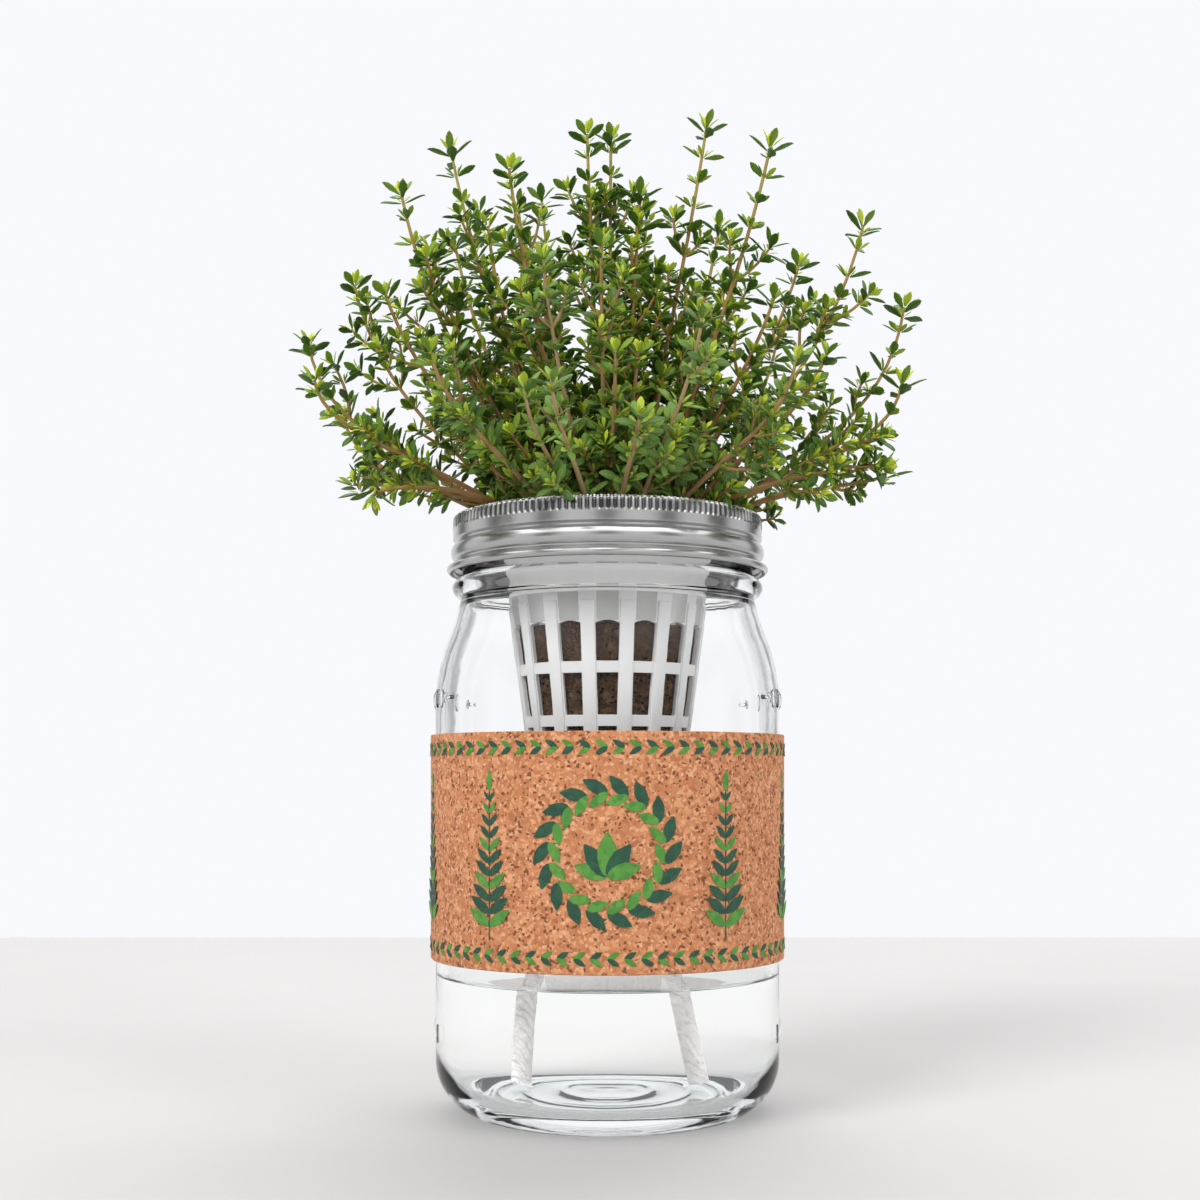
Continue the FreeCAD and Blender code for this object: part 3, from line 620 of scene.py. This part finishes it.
def make_jar():
    """One turned wall: pushed-up base, round heel, shoulder, neck bead and open mouth."""
    outside = [(0, 2.6), (9.3, 2.5), (10.3, 2.38), (11.4, 2.2), (12.5, 2.3), (13.4, 2.42),
               (19.4, 2.3), (20.5, 2.18), (21.6, 2.0), (22.7, 2.1), (23.7, 2.22), (28.6, 2.0),
               (30.6, 1.7), (32.4, 1.0), (34, 0.25), (35.2, 0)]
    outside += arc(33, 15.22, 16, -72, 0, 12)
    outside += arc(-3.2, 115, 52.2, 0, SHOULDER_SLOPE, 8)
    outside += hollow(45.1, 134.81, 56, SHOULDER_SLOPE, NECK_SLOPE)
    outside += [(42.0, 145.9), (42.7, 146.4), (43.7, 147.2), (44.2, 148.3), (44.2, 149.3),
                (43.7, 150.4), (42.7, 151.1), (41.6, 151.6), (41.4, 152.4)]
    outside += [(41.4, 153 + 1.5 * step) for step in range(9)]
    outside += [(41.3, 166.2), (40.9, 166.7), (40.2, 166.8), (39.4, 166.7), (38.8, 166.2)]
    inside = [(38.6, 165.5), (38.6, 158), (38.6, 153.2), (38.8, 152.2), (39.5, 151.2),
              (40.4, 150.2), (40.9, 149.0), (40.8, 147.8), (40.1, 146.8), (39.2, 146.2),
              (38.8, 145.7), (38.9, 145.1), (39.4, 144.6)]
    inside += hollow(42.7, 133.81, 58.6, NECK_SLOPE, SHOULDER_SLOPE)
    inside += arc(-3.2, 115, 49.6, 20, 0, 7)
    inside += arc(31.9, 19.88, 14.5, 0, -80, 10)
    inside += [(30, 5.35), (20, 5.5), (12, 5.62), (10, 5.8), (8, 5.8), (6, 5.6), (0, 5.6)]
    return turned("clear_jar", outside + inside, closed=False)


def make_block(wide, proud, tall):
    """A small bar with soft edges, its middle at the origin."""
    bar = fresh(bpy.ops.mesh.primitive_cube_add, size=MM)
    open_edit(bar)
    stretch(wide, proud, tall)
    close_edit()
    apply_modifier(bar, "BEVEL", width=min(wide, proud, tall) * 0.4 * MM, segments=3)
    return settle(bar, 50)


def make_boss():
    """An oval boss, taller than wide: a ball drawn out in height and pressed flat."""
    boss = fresh(bpy.ops.mesh.primitive_uv_sphere_add, segments=32, ring_count=16, radius=MM)
    open_edit(boss)
    stretch(1.5, 0.95, 2.7)
    close_edit()
    return settle(boss, 60)


BOSS_HEIGHTS = (117.05, 23.55)
BOSS_OUT = 48.92
TICK_OUT, TICK_UP = 48.95, 116.9


def make_marks():
    """Oval grip bosses on both sides and a level tick with a short serif beside them."""
    boss = make_boss()
    bar = make_block(4.4, 1.3, 1.2)
    serif = make_block(0.9, 1.3, 2.8)
    marks = []

    def put(source, turn, across, up, aside=0.0):
        place = (Matrix.Rotation(math.radians(turn), 4, "Z")
                 @ Matrix.Translation(Vector((aside, -across, up)) * MM))
        marks.append(copied(source, place))

    for side in (90, 270):
        for turn in (-15, 0, 15):
            for up in BOSS_HEIGHTS:
                put(boss, side + turn, BOSS_OUT, up)
    for side, out in ((-61, -1), (61, 1), (119, -1), (241, 1)):
        put(bar, side, TICK_OUT, TICK_UP)
        put(serif, side, TICK_OUT, TICK_UP, 2.6 * out)
    for source in (boss, bar, serif):
        bpy.data.objects.remove(source)
    return joined("jar_marks", marks)


def make_water():
    """Water with a thin raised edge where it wets the glass."""
    section = [(0, 38.4), (20, 38.4), (36, 38.42), (43, 38.5), (45.4, 38.85), (46.2, 39.4),
               (46.5, 40.1), (46.5, 30)]
    section += arc(31.9, 19.88, 14.6, 0, -80, 10)
    section += [(30, 5.25), (20, 5.4), (12, 5.52), (10, 5.7), (8, 5.7), (6, 5.5), (0, 5.5)]
    return turned("jar_water", section, closed=False)


THREAD_TURN = 15
THREAD_STEPS = 36
THREAD_PITCH = 5


def make_glass_thread():
    """The screw thread under the band: a round ridge, half sunk in the glass, that climbs."""
    route = []
    for step in range(THREAD_STEPS + 1):
        turn = math.radians(THREAD_TURN * step)
        route.append((41.5 * math.cos(turn), 41.5 * math.sin(turn),
                      155.6 + THREAD_PITCH * THREAD_TURN * step / 360))
    return settle(as_mesh(smooth_route("glass_thread", route, 1.5)), 60)


glass = glass_finish()
finish_piece(make_jar(), glass, "jar", "clear_glass", "glass_jar")
finish_piece(make_glass_thread(), glass, "jar", "clear_glass")
finish_piece(make_marks(), glass, "jar", "clear_glass")
finish_piece(make_water(), water_finish(), "jar")

# ---------------------------------------- screw band

FLUTE_SHARE = 0.9865  # radius of a flute's hollow as a share of the face's


def make_band():
    """Thin steel ring: fluted top edge, pressed groove, proud roll and a curled foot."""
    # Each corner is its radius and how far it lies below the band's top.
    outside = [(38.0, 0.4), (38.05, 0.1), (38.5, 0), (41.8, 0), (42.8, 0.06), (43.5, 0.3),
               (43.9, 0.8), (44.05, 1.5), (44.1, 2.4), (44.1, 3.6), (44.05, 4.2), (44.0, 5.0),
               (44.05, 6.2), (44.0, 6.8), (43.65, 7.1), (43.3, 7.4), (43.3, 7.9), (43.6, 8.3),
               (44.1, 8.7), (44.5, 9.5), (44.6, 10.6), (44.45, 11.6), (44.0, 12.4),
               (43.6, 12.8), (43.55, 13.1), (43.8, 13.5), (44.5, 14.2)]
    inside = [(43.9, 14.9), (43.2, 13.8), (43.1, 12.8), (43.7, 12.0), (44.05, 11.2),
              (44.1, 10.2), (43.8, 9.2), (43.1, 8.6), (42.85, 8.0), (42.85, 7.3), (43.4, 6.7),
              (43.55, 5.8), (43.5, 1.4), (43.1, 0.75), (42.4, 0.5), (38.2, 0.5)]
    outside, inside = ([(across, BAND_TOP - drop) for across, drop in side]
                       for side in (outside, inside))
    curl = arc(44.75, BAND_TOP - 15.2, 1.05, 70, -180, 10)
    band = turned("steel_band", outside + curl + inside, STEEL_STEPS, angle=28)
    step = 2 * math.pi / STEEL_STEPS

    def in_flute(place):
        """Whether a corner of the band's outer wall lies in the hollow half of a flute."""
        drop, across = BAND_TOP - place.z / MM, place.xy.length / MM
        if not 0.2 <= drop <= 3.9 or not 43.46 <= across <= 44.3:
            return False
        if drop > 1.3 and across < 43.7:
            return False
        return round(math.atan2(place.y, place.x) / step) % 4 < 2

    open_edit(band)
    pick(band, in_flute)
    stretch(FLUTE_SHARE, FLUTE_SHARE, 1)
    close_edit()
    return settle(band, 24)


finish_piece(make_band(), steel_finish(), "band", "brushed_steel_band", "screw_band")

# ---------------------------------------- net cup and grow plug


def dress_node(name, material):
    """A CAD node that keeps its shape and gets a finish."""
    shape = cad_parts[name]
    coat(shape, material)
    for face in shape.data.polygons:
        face.material_index = 0


def make_ribs():
    """Flat upright ribs that stand proud of the cup's tapered wall, between the windows."""
    rib = fresh(bpy.ops.mesh.primitive_cube_add, size=MM)
    open_edit(rib)
    stretch(4.1, 0.9, 47.6)
    pick(rib, lambda place: place.z < 0)
    stretch(0.74, 1, 1)
    close_edit()
    apply_modifier(rib, "BEVEL", width=0.22 * MM, segments=2)
    settle(rib, 40)
    on_wall = (Matrix.Translation((0, -24.72 * MM, 119.2 * MM))
               @ Matrix.Rotation(math.radians(7.6), 4, "X"))
    ribs = []
    for number in range(CUP_RIBS):
        turn = 360 / CUP_RIBS * (number + 0.5)
        ribs.append(copied(rib, Matrix.Rotation(math.radians(turn), 4, "Z") @ on_wall))
    bpy.data.objects.remove(rib)
    return joined("cup_ribs", ribs)


white_plastic = white_plastic_finish()
dress_node("net_cup", white_plastic)
dress_node("grow_plug", coir_finish())
finish_piece(make_ribs(), white_plastic, "insert", "white_plastic")

# ---------------------------------------- cork sleeve

SLEEVE_LOW, SLEEVE_HIGH = 44, 107
SLEEVE_ROUND = 2 * math.pi * 50.4
PRINT_OUT = 50.42
INK_LAYER = 0.013
BORDER_LEAVES = 72
RING_LEAVES, RING_RADIUS, RING_MIDDLE = 18, 15.5, 75.5
FRONDS = (-66, -33.5, 33.5, 66, 99, 132, -99, -132)


def make_sleeve():
    """Cork strip wrapped round the jar. The seam at its back is in the finish."""
    low, high = SLEEVE_LOW + 0.2, SLEEVE_HIGH - 0.2
    section = [(49.25, low - 0.05), (49.4, SLEEVE_LOW), (50.15, SLEEVE_LOW)]
    section += [(50.35, low + (high - low) * step / 12) for step in range(13)]
    section += [(50.15, SLEEVE_HIGH), (49.4, SLEEVE_HIGH), (49.25, high + 0.05)]
    return turned("cork_wrap", section, 192)


finish_piece(make_sleeve(), cork_finish(), "sleeve", "cork", "cork_sleeve")


def make_print_leaf():
    """A thin printed leaf one millimetre long, pointing up, its foot at the origin."""
    leaf = fresh(bpy.ops.mesh.primitive_circle_add, vertices=14, radius=0.5 * MM,
                 fill_type="NGON", rotation=(0, 0, math.radians(180 / 7)))
    bpy.ops.object.transform_apply(location=True, rotation=True, scale=True)
    open_edit(leaf)
    stretch(0.46, 1, 1)
    shift(0, 0.5, 0)
    for height in (0.75, 0.9):
        pick(leaf, lambda place: place.y > height * MM)
        stretch(0.7, 1, 1)
    bpy.ops.mesh.select_all(action="SELECT")
    bpy.ops.mesh.extrude_region_move(TRANSFORM_OT_translate={"value": (0, 0, 0.01 * MM)})
    close_edit()
    return settle(leaf, 30)


def on_sleeve(across, up, turn, layer):
    """The place on the sleeve's face, in millimetres along it from the front's middle."""
    return (Matrix.Rotation(2 * math.pi * across / SLEEVE_ROUND, 4, "Z")
            @ Matrix.Translation((0, -(PRINT_OUT + INK_LAYER * layer) * MM, up * MM))
            @ Matrix.Rotation(math.radians(90), 4, "X")
            @ Matrix.Rotation(math.radians(turn), 4, "Z"))


def make_print():
    """Plain border rows all round, a leafy ring in front, and fronds spaced round the sleeve."""
    leaf = make_print_leaf()
    dark, light = [], []

    def put(in_dark, across, up, turn, length, wide=1.0):
        layer = (len(dark) + len(light)) % 7
        place = on_sleeve(across, up, turn, layer)
        size = Matrix.Diagonal((length * wide, length, 1.0, 1))
        (dark if in_dark else light).append(copied(leaf, place @ size))

    for row, way in ((48.2, 1), (102.8, -1)):
        for number in range(BORDER_LEAVES):
            across = SLEEVE_ROUND * number / BORDER_LEAVES
            put(number % 2, across, row, -60 * way, 3.6, 0.9)
            put(not number % 2, across, row, -120 * way, 3.6, 0.9)
    for number in range(RING_LEAVES):
        turn = 360 / RING_LEAVES * number
        across = -RING_RADIUS * math.sin(math.radians(turn))
        up = RING_MIDDLE + RING_RADIUS * math.cos(math.radians(turn))
        put(True, across, up, turn + 62, 7.2)
        put(False, across, up, turn + 128, 6.0)
    for number in range(5):
        put(number % 2, 0, 69.5, 72 - 36 * number, 11.5 - 1.2 * abs(2 - number))
    for middle in FRONDS:
        for step in range(11):
            for side in (-1, 1):
                put(step % 3, middle, 56 + 3.3 * step, side * (58 - 2 * step),
                    8.2 - 0.52 * step, 0.8)
        put(False, middle, 91.5, 0, 5.5, 0.8)
        for step in range(14):
            put(True, middle, 52 + 2.8 * step, 0, 3.4, 0.32)
    bpy.data.objects.remove(leaf)
    return joined("print_dark", dark), joined("print_light", light)


print_dark, print_light = make_print()
finish_piece(print_dark, ink_finish("dark_ink", (0.012, 0.05, 0.032), (0.02, 0.08, 0.04)),
             "sleeve")
finish_piece(print_light, ink_finish("green_ink", (0.05, 0.19, 0.03), (0.1, 0.28, 0.045)),
             "sleeve")

# ---------------------------------------- thyme


def make_leaf():
    """A leaf one millimetre long: a flattened ball with a narrow foot, a sunk rib, a bent tip."""
    leaf = fresh(bpy.ops.mesh.primitive_uv_sphere_add, segments=8, ring_count=6,
                 radius=0.5 * MM)
    leaf.name = "leaf"
    open_edit(leaf)
    stretch(0.42, 0.1, 1)
    shift(0, 0, 0.5)
    pick(leaf, lambda place: place.z < 0.3 * MM)
    stretch(0.6, 1, 1)
    pick(leaf, lambda place: place.z > 0.8 * MM)
    stretch(0.72, 1, 1)
    pick(leaf, lambda place: place.y > 0 and abs(place.x) < 0.01 * MM)
    shift(0, -0.05, 0)
    for height, sink in ((0.6, -0.015), (0.8, -0.035), (0.95, -0.05)):
        pick(leaf, lambda place: place.z > height * MM)
        shift(0, sink, 0)
    close_edit()
    take(leaf)
    bpy.ops.object.shade_smooth()
    uvs = leaf.data.uv_layers[0]
    uvs.name = "UVMap"
    for loop in leaf.data.loops:
        place = leaf.data.vertices[loop.vertex_index].co
        rib = abs(place.x) / (0.19 * MM) if place.y > -0.03 * MM else 1
        uvs.data[loop.index].uv = (rib, place.z / MM)
    return leaf


def give_shade(piece, name, amount):
    """The same value of a shade attribute at every corner of a piece."""
    shades = piece.data.attributes.get(name)
    if shades is None:
        shades = piece.data.attributes.new(name, "FLOAT", "POINT")
    shades.data.foreach_set("value", [amount] * len(piece.data.vertices))


def add_shade(piece, name, amount):
    shades = piece.data.attributes[name]
    values = [0.0] * len(piece.data.vertices)
    shades.data.foreach_get("value", values)
    shades.data.foreach_set("value", [value + amount for value in values])


LEAF = make_leaf()
dice = random.Random(11)


def jitter(amount):
    return dice.uniform(-amount, amount)


def leaf_on(turn, lean, length, up, tint, out=0.45, roll=30):
    """A leaf that leaves the stem at a turn round it, leaning out and rolled on its own rib."""
    place = (Matrix.Translation((0, 0, up * MM)) @ Matrix.Rotation(math.radians(turn), 4, "Z")
             @ Matrix.Translation((0, -out * MM, 0))
             @ Matrix.Rotation(math.radians(lean), 4, "X")
             @ Matrix.Rotation(math.radians(jitter(roll)), 4, "Z")
             @ Matrix.Diagonal((length * dice.uniform(0.92, 1.1), length, length, 1)))
    leaf = copied(LEAF, place)
    give_shade(leaf, "tint", tint)
    give_shade(leaf, "bloom", 0.0)
    return leaf


def make_pair(name, big, small):
    """A joint of the stem: on each side a large leaf with small ones standing in its axil."""
    leaves = []
    for side in (0, 180):
        leaves.append(leaf_on(side + jitter(10), 60 + jitter(13), big * dice.uniform(0.85, 1.08),
                              0, 0.2 + jitter(0.1), 0.7, 42))
        for turn, lean, share, tint in ((40, 50, 1.0, 0.42), (-38, 40, 0.9, 0.5),
                                        (4, 20, 0.66, 0.86)):
            leaves.append(leaf_on(side + turn + jitter(12), lean + jitter(9),
                                  small * share * dice.uniform(0.85, 1.1), 0.3,
                                  tint + jitter(0.12), 0.7, 38))
    return joined(name, leaves)


def make_rosette(name, size):
    """A shoot's tip: four dark leaves spread round a bright yellow-green heart."""
    leaves = []
    rings = ((0, 74, 6.6, -2.8, 0.14), (90, 60, 6.5, -1.4, 0.2), (0, 44, 5.6, -0.4, 0.4),
             (90, 30, 4.3, 0.1, 0.8), (45, 16, 3.1, 0.5, 1.0), (0, 52, 2.8, -2.4, 0.9))
    for turn, lean, length, up, tint in rings:
        for side in (0, 180):
            leaves.append(leaf_on(turn + side + jitter(12), lean + jitter(8),
                                  length * size * dice.uniform(0.9, 1.08), up * size,
                                  tint + jitter(0.06), 0.4))
    return joined(name, leaves)


PAIRS = [make_pair("pair_%d" % n, big, small)
         for n, (big, small) in enumerate(((6.8, 4.4), (6.3, 3.9), (7.2, 4.2), (5.9, 4.6)))]
ROSETTES = [make_rosette("rosette_%d" % n, size) for n, size in enumerate((1.0, 0.9, 1.08))]
LEAFAGE = [LEAF] + PAIRS + ROSETTES
STEM_STUFF = stem_finish()
leaf_stuff = leaf_finish()
for shape in LEAFAGE:
    coat(shape, leaf_stuff)


def bezier(points, share):
    """The place at this share of the curve and the way it heads there."""
    rest = 1 - share
    a, b, c, d = points
    place = (a * rest ** 3 + b * (3 * rest * rest * share) + c * (3 * rest * share * share)
             + d * share ** 3)
    way = ((b - a) * (rest * rest) + (c - b) * (2 * rest * share) + (d - c) * (share * share))
    return place, way.normalized()


def make_stalk(points, thick_foot, thick_tip, steps, bloom):
    """A tapered stem along a curve, made a mesh."""
    shares = [step / steps for step in range(steps + 1)]
    stalk, spline = tube("stalk", "POLY", [bezier(points, share)[0] for share in shares], 1, 1)
    for point, share in zip(spline.points, shares):
        point.radius = thick_foot + (thick_tip - thick_foot) * share
    stalk = as_mesh(stalk)
    bpy.ops.object.shade_smooth()
    give_shade(stalk, "tint", 0.5)
    give_shade(stalk, "bloom", bloom)
    coat(stalk, STEM_STUFF)
    return stalk


def frame_on(place, way, turn, size):
    """The matrix that stands a joint's leaves on a stem, turned round it."""
    side = way.cross(Vector((0.3, 0.2, 1)))
    if side.length < 0.05:
        side = way.cross(Vector((1, 0, 0)))
    side.normalize()
    other = way.cross(side)
    rotation = Matrix((side, other, way)).transposed().to_4x4()
    return (Matrix.Translation(place) @ rotation @ Matrix.Rotation(turn, 4, "Z")
            @ Matrix.Scale(size, 4))


def hides_band(place):
    """Whether leaves here would hang over the band's face in front."""
    low = place.z < 177 * MM
    return low and place.y < 5 * MM and 37 * MM < place.xy.length < 51 * MM


# The stem stays bare for this length under its tip's rosette. Limbs grow between these shares
# of it, and at a joint that has them each side gets one this often.
BARE_TIP = 2.6
LIMBS_FROM, LIMBS_TO = 0.16, 0.84
LIMB_CHANCE = 0.62
TRACK_STEPS = 120


def dress_stem(points, first, gap_foot, gap_tip, size, bloom, leaves, branches, turn):
    """Leaves at the joints along a stem, limbs from some of them, and a tip rosette."""
    track = [bezier(points, step / TRACK_STEPS) for step in range(TRACK_STEPS + 1)]
    lengths = [0.0]
    for before, after in zip(track, track[1:]):
        lengths.append(lengths[-1] + (after[0] - before[0]).length / MM)
    whole = lengths[-1]
    at = first
    while at < whole - BARE_TIP:
        share = at / whole
        index = min(range(len(lengths)), key=lambda k: abs(lengths[k] - at))
        place, way = track[index]
        scale = size * (0.95 + 0.16 * math.sin(math.pi * min(share * 1.1, 1)))
        shape, tone = dice.choice(PAIRS), jitter(0.1)
        hidden = hides_band(place)
        if not hidden:
            pair = copied(shape, frame_on(place, way, turn, scale))
            add_shade(pair, "tint", 0.2 * (share - 0.5) + tone)
            give_shade(pair, "bloom", bloom)
            leaves.append(pair)
        branching = branches > 0 and LIMBS_FROM < share < LIMBS_TO and not hidden
        if branching and dice.random() < branches:
            for side in (0, math.pi):
                if dice.random() < LIMB_CHANCE:
                    arm = frame_on(place, way, turn + side + jitter(0.5), 1)
                    out = (arm.to_3x3() @ Vector((0, -1, 0))).normalized()
                    reach = dice.uniform(9, 22) * (1.15 - 0.55 * share) * MM
                    limb = [place, place + (way * 0.35 + out * 0.55) * reach * 0.4,
                            place + (way * 0.7 + out * 0.6) * reach * 0.75,
                            place + (way * 0.86 + out * 0.55) * reach]
                    leaves.append(make_stalk(limb, 1.05, 0.7, 5, bloom))
                    dress_stem(limb, 4.5, 5.6, 5.0, size * 0.84, bloom, leaves, 0,
                               turn + math.pi / 2)
        turn += math.pi / 2 + jitter(0.25)
        at += gap_foot + (gap_tip - gap_foot) * share + jitter(0.7)
    place, way = track[-1]
    shape = dice.choice(ROSETTES)
    rosette = copied(shape, frame_on(place, way, turn, size * (1.08 + jitter(0.06))))
    add_shade(rosette, "tint", jitter(0.06))
    give_shade(rosette, "bloom", bloom * 0.6)
    leaves.append(rosette)


# The plant's reach to each side, to the back and up from the band's top.
PLANT_WIDE, PLANT_DEEP, PLANT_TALL = 86.5, 79, 117
# The stems of the solids: tip as shares of the plant's reach to the side, to the back and of its
# height, the share by which it leans out, and how much of the pale bloom its leaves have.
STEMS = [
    (-0.96, -0.22, 0.42, 0.80, 0), (-0.88, -0.62, 0.27, 0.85, 0), (-0.93, 0.34, 0.33, 0.80, 0),
    (-0.86, 0.10, 0.62, 0.55, 0), (-0.66, -0.28, 0.76, 0.40, 0), (-0.55, 0.42, 0.80, 0.30, 0),
    (-0.52, -0.78, 0.31, 0.70, 0.4), (-0.53, 0.05, 0.94, 0.20, 0), (-0.46, 0.86, 0.44, 0.65, 0),
    (-0.31, -0.40, 0.79, 0.25, 0), (-0.24, 0.52, 0.93, 0.20, 0), (-0.16, -0.93, 0.22, 0.75, 0.9),
    (-0.07, 0.08, 0.99, 0.05, 0), (-0.02, -0.56, 0.58, 0.35, 0.3), (0.04, 0.96, 0.42, 0.60, 0),
    (0.14, 0.36, 0.86, 0.20, 0), (0.28, -0.78, 0.38, 0.50, 1), (0.33, -0.06, 0.97, 0.10, 0),
    (0.33, 0.72, 0.70, 0.40, 0), (0.52, -0.32, 0.86, 0.20, 0), (0.56, -0.70, 0.30, 0.75, 0.4),
    (0.62, 0.58, 0.56, 0.50, 0), (0.66, 0.16, 0.68, 0.30, 0), (0.84, -0.12, 0.72, 0.45, 0),
    (0.80, 0.46, 0.26, 0.85, 0), (1.00, 0.08, 0.56, 0.75, 0), (0.93, -0.32, 0.31, 0.85, 0),
    (-0.39, -0.16, 0.71, 0.45, 0), (-0.53, -0.51, 0.32, 0.50, 0.3), (0.02, 0.61, 0.58, 0.30, 0),
    (0.10, -0.12, 0.73, 0.35, 0), (-0.25, -0.65, 0.25, 0.75, 0.9), (0.72, -0.46, 0.10, 0.85, 0),
    (-0.32, 0.19, 0.38, 0.60, 0), (0.32, 0.20, 0.42, 0.60, 0), (0.39, 0.44, 0.46, 0.40, 0),
    (-0.23, 0.79, 0.23, 0.80, 0), (-0.67, 0.64, 0.45, 0.45, 0),
]
# Lighter growth between them: tip, lean and bloom.
SIDE_GROWTH = [
    (-17.3, -44, 233.5, 0.3, 1), (-69.5, -35, 175.7, 0.9, 0), (-60.2, -35, 226.8, 0.4, 0),
    (-27.8, 30, 272.4, 0.15, 0), (9.4, -8, 262.5, 0.1, 0), (34.4, 28, 264.6, 0.2, 0),
    (45.8, -30, 227.2, 0.3, 0), (78.4, -15, 183.1, 0.9, 0), (-49.1, -22, 243, 0.35, 0),
    (8.4, -60, 189.3, 0.55, 0.8), (2.2, -45, 209.1, 0.35, 0.5), (-61.5, -45, 165, 0.95, 0),
    (60, -30, 212, 0.5, 0), (28, 62, 204, 0.6, 0), (52, 58, 205, 0.6, 0), (1, 8, 284.5, 0.08, 0),
]


STEM_FOOT = 135.2  # in the plug
STEM_BEND = 172.1  # where a leaning stem clears the band's lip
TIP_BACK = 3.3  # makes room for the rosette inside the plant's reach
PLUG_SPREAD = 12
BEND_SPREAD = 26


def make_stem(number, x, y, z, lean, bloom, branches, node_name=None):
    """A leafy stem from the plug, up past the band's lip and out to its tip."""
    tip = Vector((x, y, z)) * MM
    reach = tip.xy.length
    out = Vector((x, y, 0)).normalized()
    spread = min(reach / (PLANT_WIDE * MM), 1)
    low = (1 - lean) / 2
    rim = STEM_BEND * MM
    start = out * (PLUG_SPREAD * spread * MM) + Vector((0, 0, STEM_FOOT * MM))
    rise = out * ((14 + 2 * spread) * spread * MM) + Vector((0, 0, rim + 14 * MM * lean * spread))
    edge = BEND_SPREAD * spread * MM
    bend = out * (edge + (reach - edge) * (1 - low)) + Vector((0, 0, rim + (tip.z - rim) * low))
    tip -= (tip - bend).normalized() * TIP_BACK * MM
    points = [start, rise, bend, tip]
    whole = [make_stalk(points, 1.95, 0.85, 24, bloom)]
    dress_stem(points, 38 + 6 * spread, 9.0, 6.4, 0.96, bloom, whole, branches,
               dice.uniform(0, math.pi))
    piece = joined("thyme_stem_%02d" % number, whole)
    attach(piece, "plant")
    if node_name:
        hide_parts(node_name)


for number, (side, depth, height, lean, bloom) in enumerate(STEMS, start=1):
    make_stem(number, side * PLANT_WIDE, depth * PLANT_DEEP, BAND_TOP + height * PLANT_TALL,
              lean, bloom, 0.75, "thyme_sprig_%02d" % number)
for number, (x, y, z, lean, bloom) in enumerate(SIDE_GROWTH, start=39):
    make_stem(number, x, y, z, lean, bloom, 0.7)

# Short sprigs close the middle of the plant above the band. Each stands a golden angle on.
GOLDEN_ANGLE = 2.39996
FILL_STEMS = 24
for number in range(1, FILL_STEMS + 1):
    turn = number * GOLDEN_ANGLE
    reach = 14 + 34 * ((number * 7) % FILL_STEMS) / FILL_STEMS
    height = 184 + 34 * ((number * 5) % FILL_STEMS) / FILL_STEMS
    make_stem(60 + number, reach * math.cos(turn), reach * math.sin(turn), height, 0.3, 0.15, 0.6)

for shape in LEAFAGE:
    bpy.data.objects.remove(shape)

# ---------------------------------------- floor and light

FLOOR_SIZE = 10
FLOOR_BACK = 0.53


def make_stage():
    """A wide floor, in metres, whose far edge shows as the photo's does."""
    floor = fresh(bpy.ops.mesh.primitive_plane_add, size=FLOOR_SIZE)
    floor.name = "pale_floor"
    open_edit(floor)
    bpy.ops.transform.translate(value=(0, FLOOR_BACK - FLOOR_SIZE / 2, 0))
    close_edit()
    floor.data.materials.append(floor_finish())


def soft_lamp(name, place, aim, size, power):
    """A large lamp that no mirror or glass shows."""
    lamp = bpy.data.lights.new(name, "AREA")
    lamp.shape = "RECTANGLE"
    lamp.size, lamp.size_y = size
    lamp.energy = power
    holder = bpy.data.objects.new(name, lamp)
    bpy.context.scene.collection.objects.link(holder)
    holder.location = place
    holder.visible_glossy = False
    holder.visible_transmission = False
    way = Vector(aim) - Vector(place)
    holder.rotation_euler = way.to_track_quat("-Z", "Y").to_euler()


def make_world():
    """Pale studio: even light for matt surfaces, and tall panels with darker gaps for gloss."""
    world = bpy.data.worlds.new("studio")
    bpy.context.scene.world = world
    world.use_nodes = True
    net = Net(world.node_tree)
    path = net.add("LightPath")
    parts = net.axes(net.add("TexCoord")["Generated"])
    turn = net.turn(parts)
    wave = net.math("COSINE", net.times(turn, 8.0))
    dark = (0.1, 0.1, 0.105)
    gloss = net.mix(net.ranged(wave, 0.1, 0.9, soft=True), (1.0, 1.0, 1.01), dark)
    high = net.ranged(parts["Z"], 0.38, 0.62, 0.0, 2.0, soft=True)
    gloss = net.mix(1.0, gloss, high, blend="ADD")
    streaks = net.ranged(net.math("COSINE", net.times(turn, 27.0)), -0.9, 0.6, 0.3, 1.0)
    gaps = net.times(net.ranged(wave, -0.15, -0.8, soft=True), streaks)
    through = net.mix(gaps, (0.95, 0.955, 0.98), dark)
    plain = net.mix(path["Is Camera Ray"], (0.5, 0.505, 0.52), (0.94, 0.948, 0.985))
    shade = net.mix(path["Is Glossy Ray"], plain, gloss)
    shade = net.mix(path["Is Transmission Ray"], shade, through)
    net.link(shade, net.tree.nodes["Background"].inputs["Color"])


make_stage()
make_world()
soft_lamp("key", (-1.3, -1.5, 1.7), (0, 0, 0.1), (0.9, 1.1), 46)
soft_lamp("fill", (1.6, -1.1, 1.1), (0, 0, 0.12), (1.1, 1.3), 18)
soft_lamp("top", (0.2, 0.9, 2.0), (0, 0.1, 0.1), (1.4, 1.2), 27)

bpy.context.scene.view_settings.view_transform = "Standard"

bpy.context.view_layer.update()
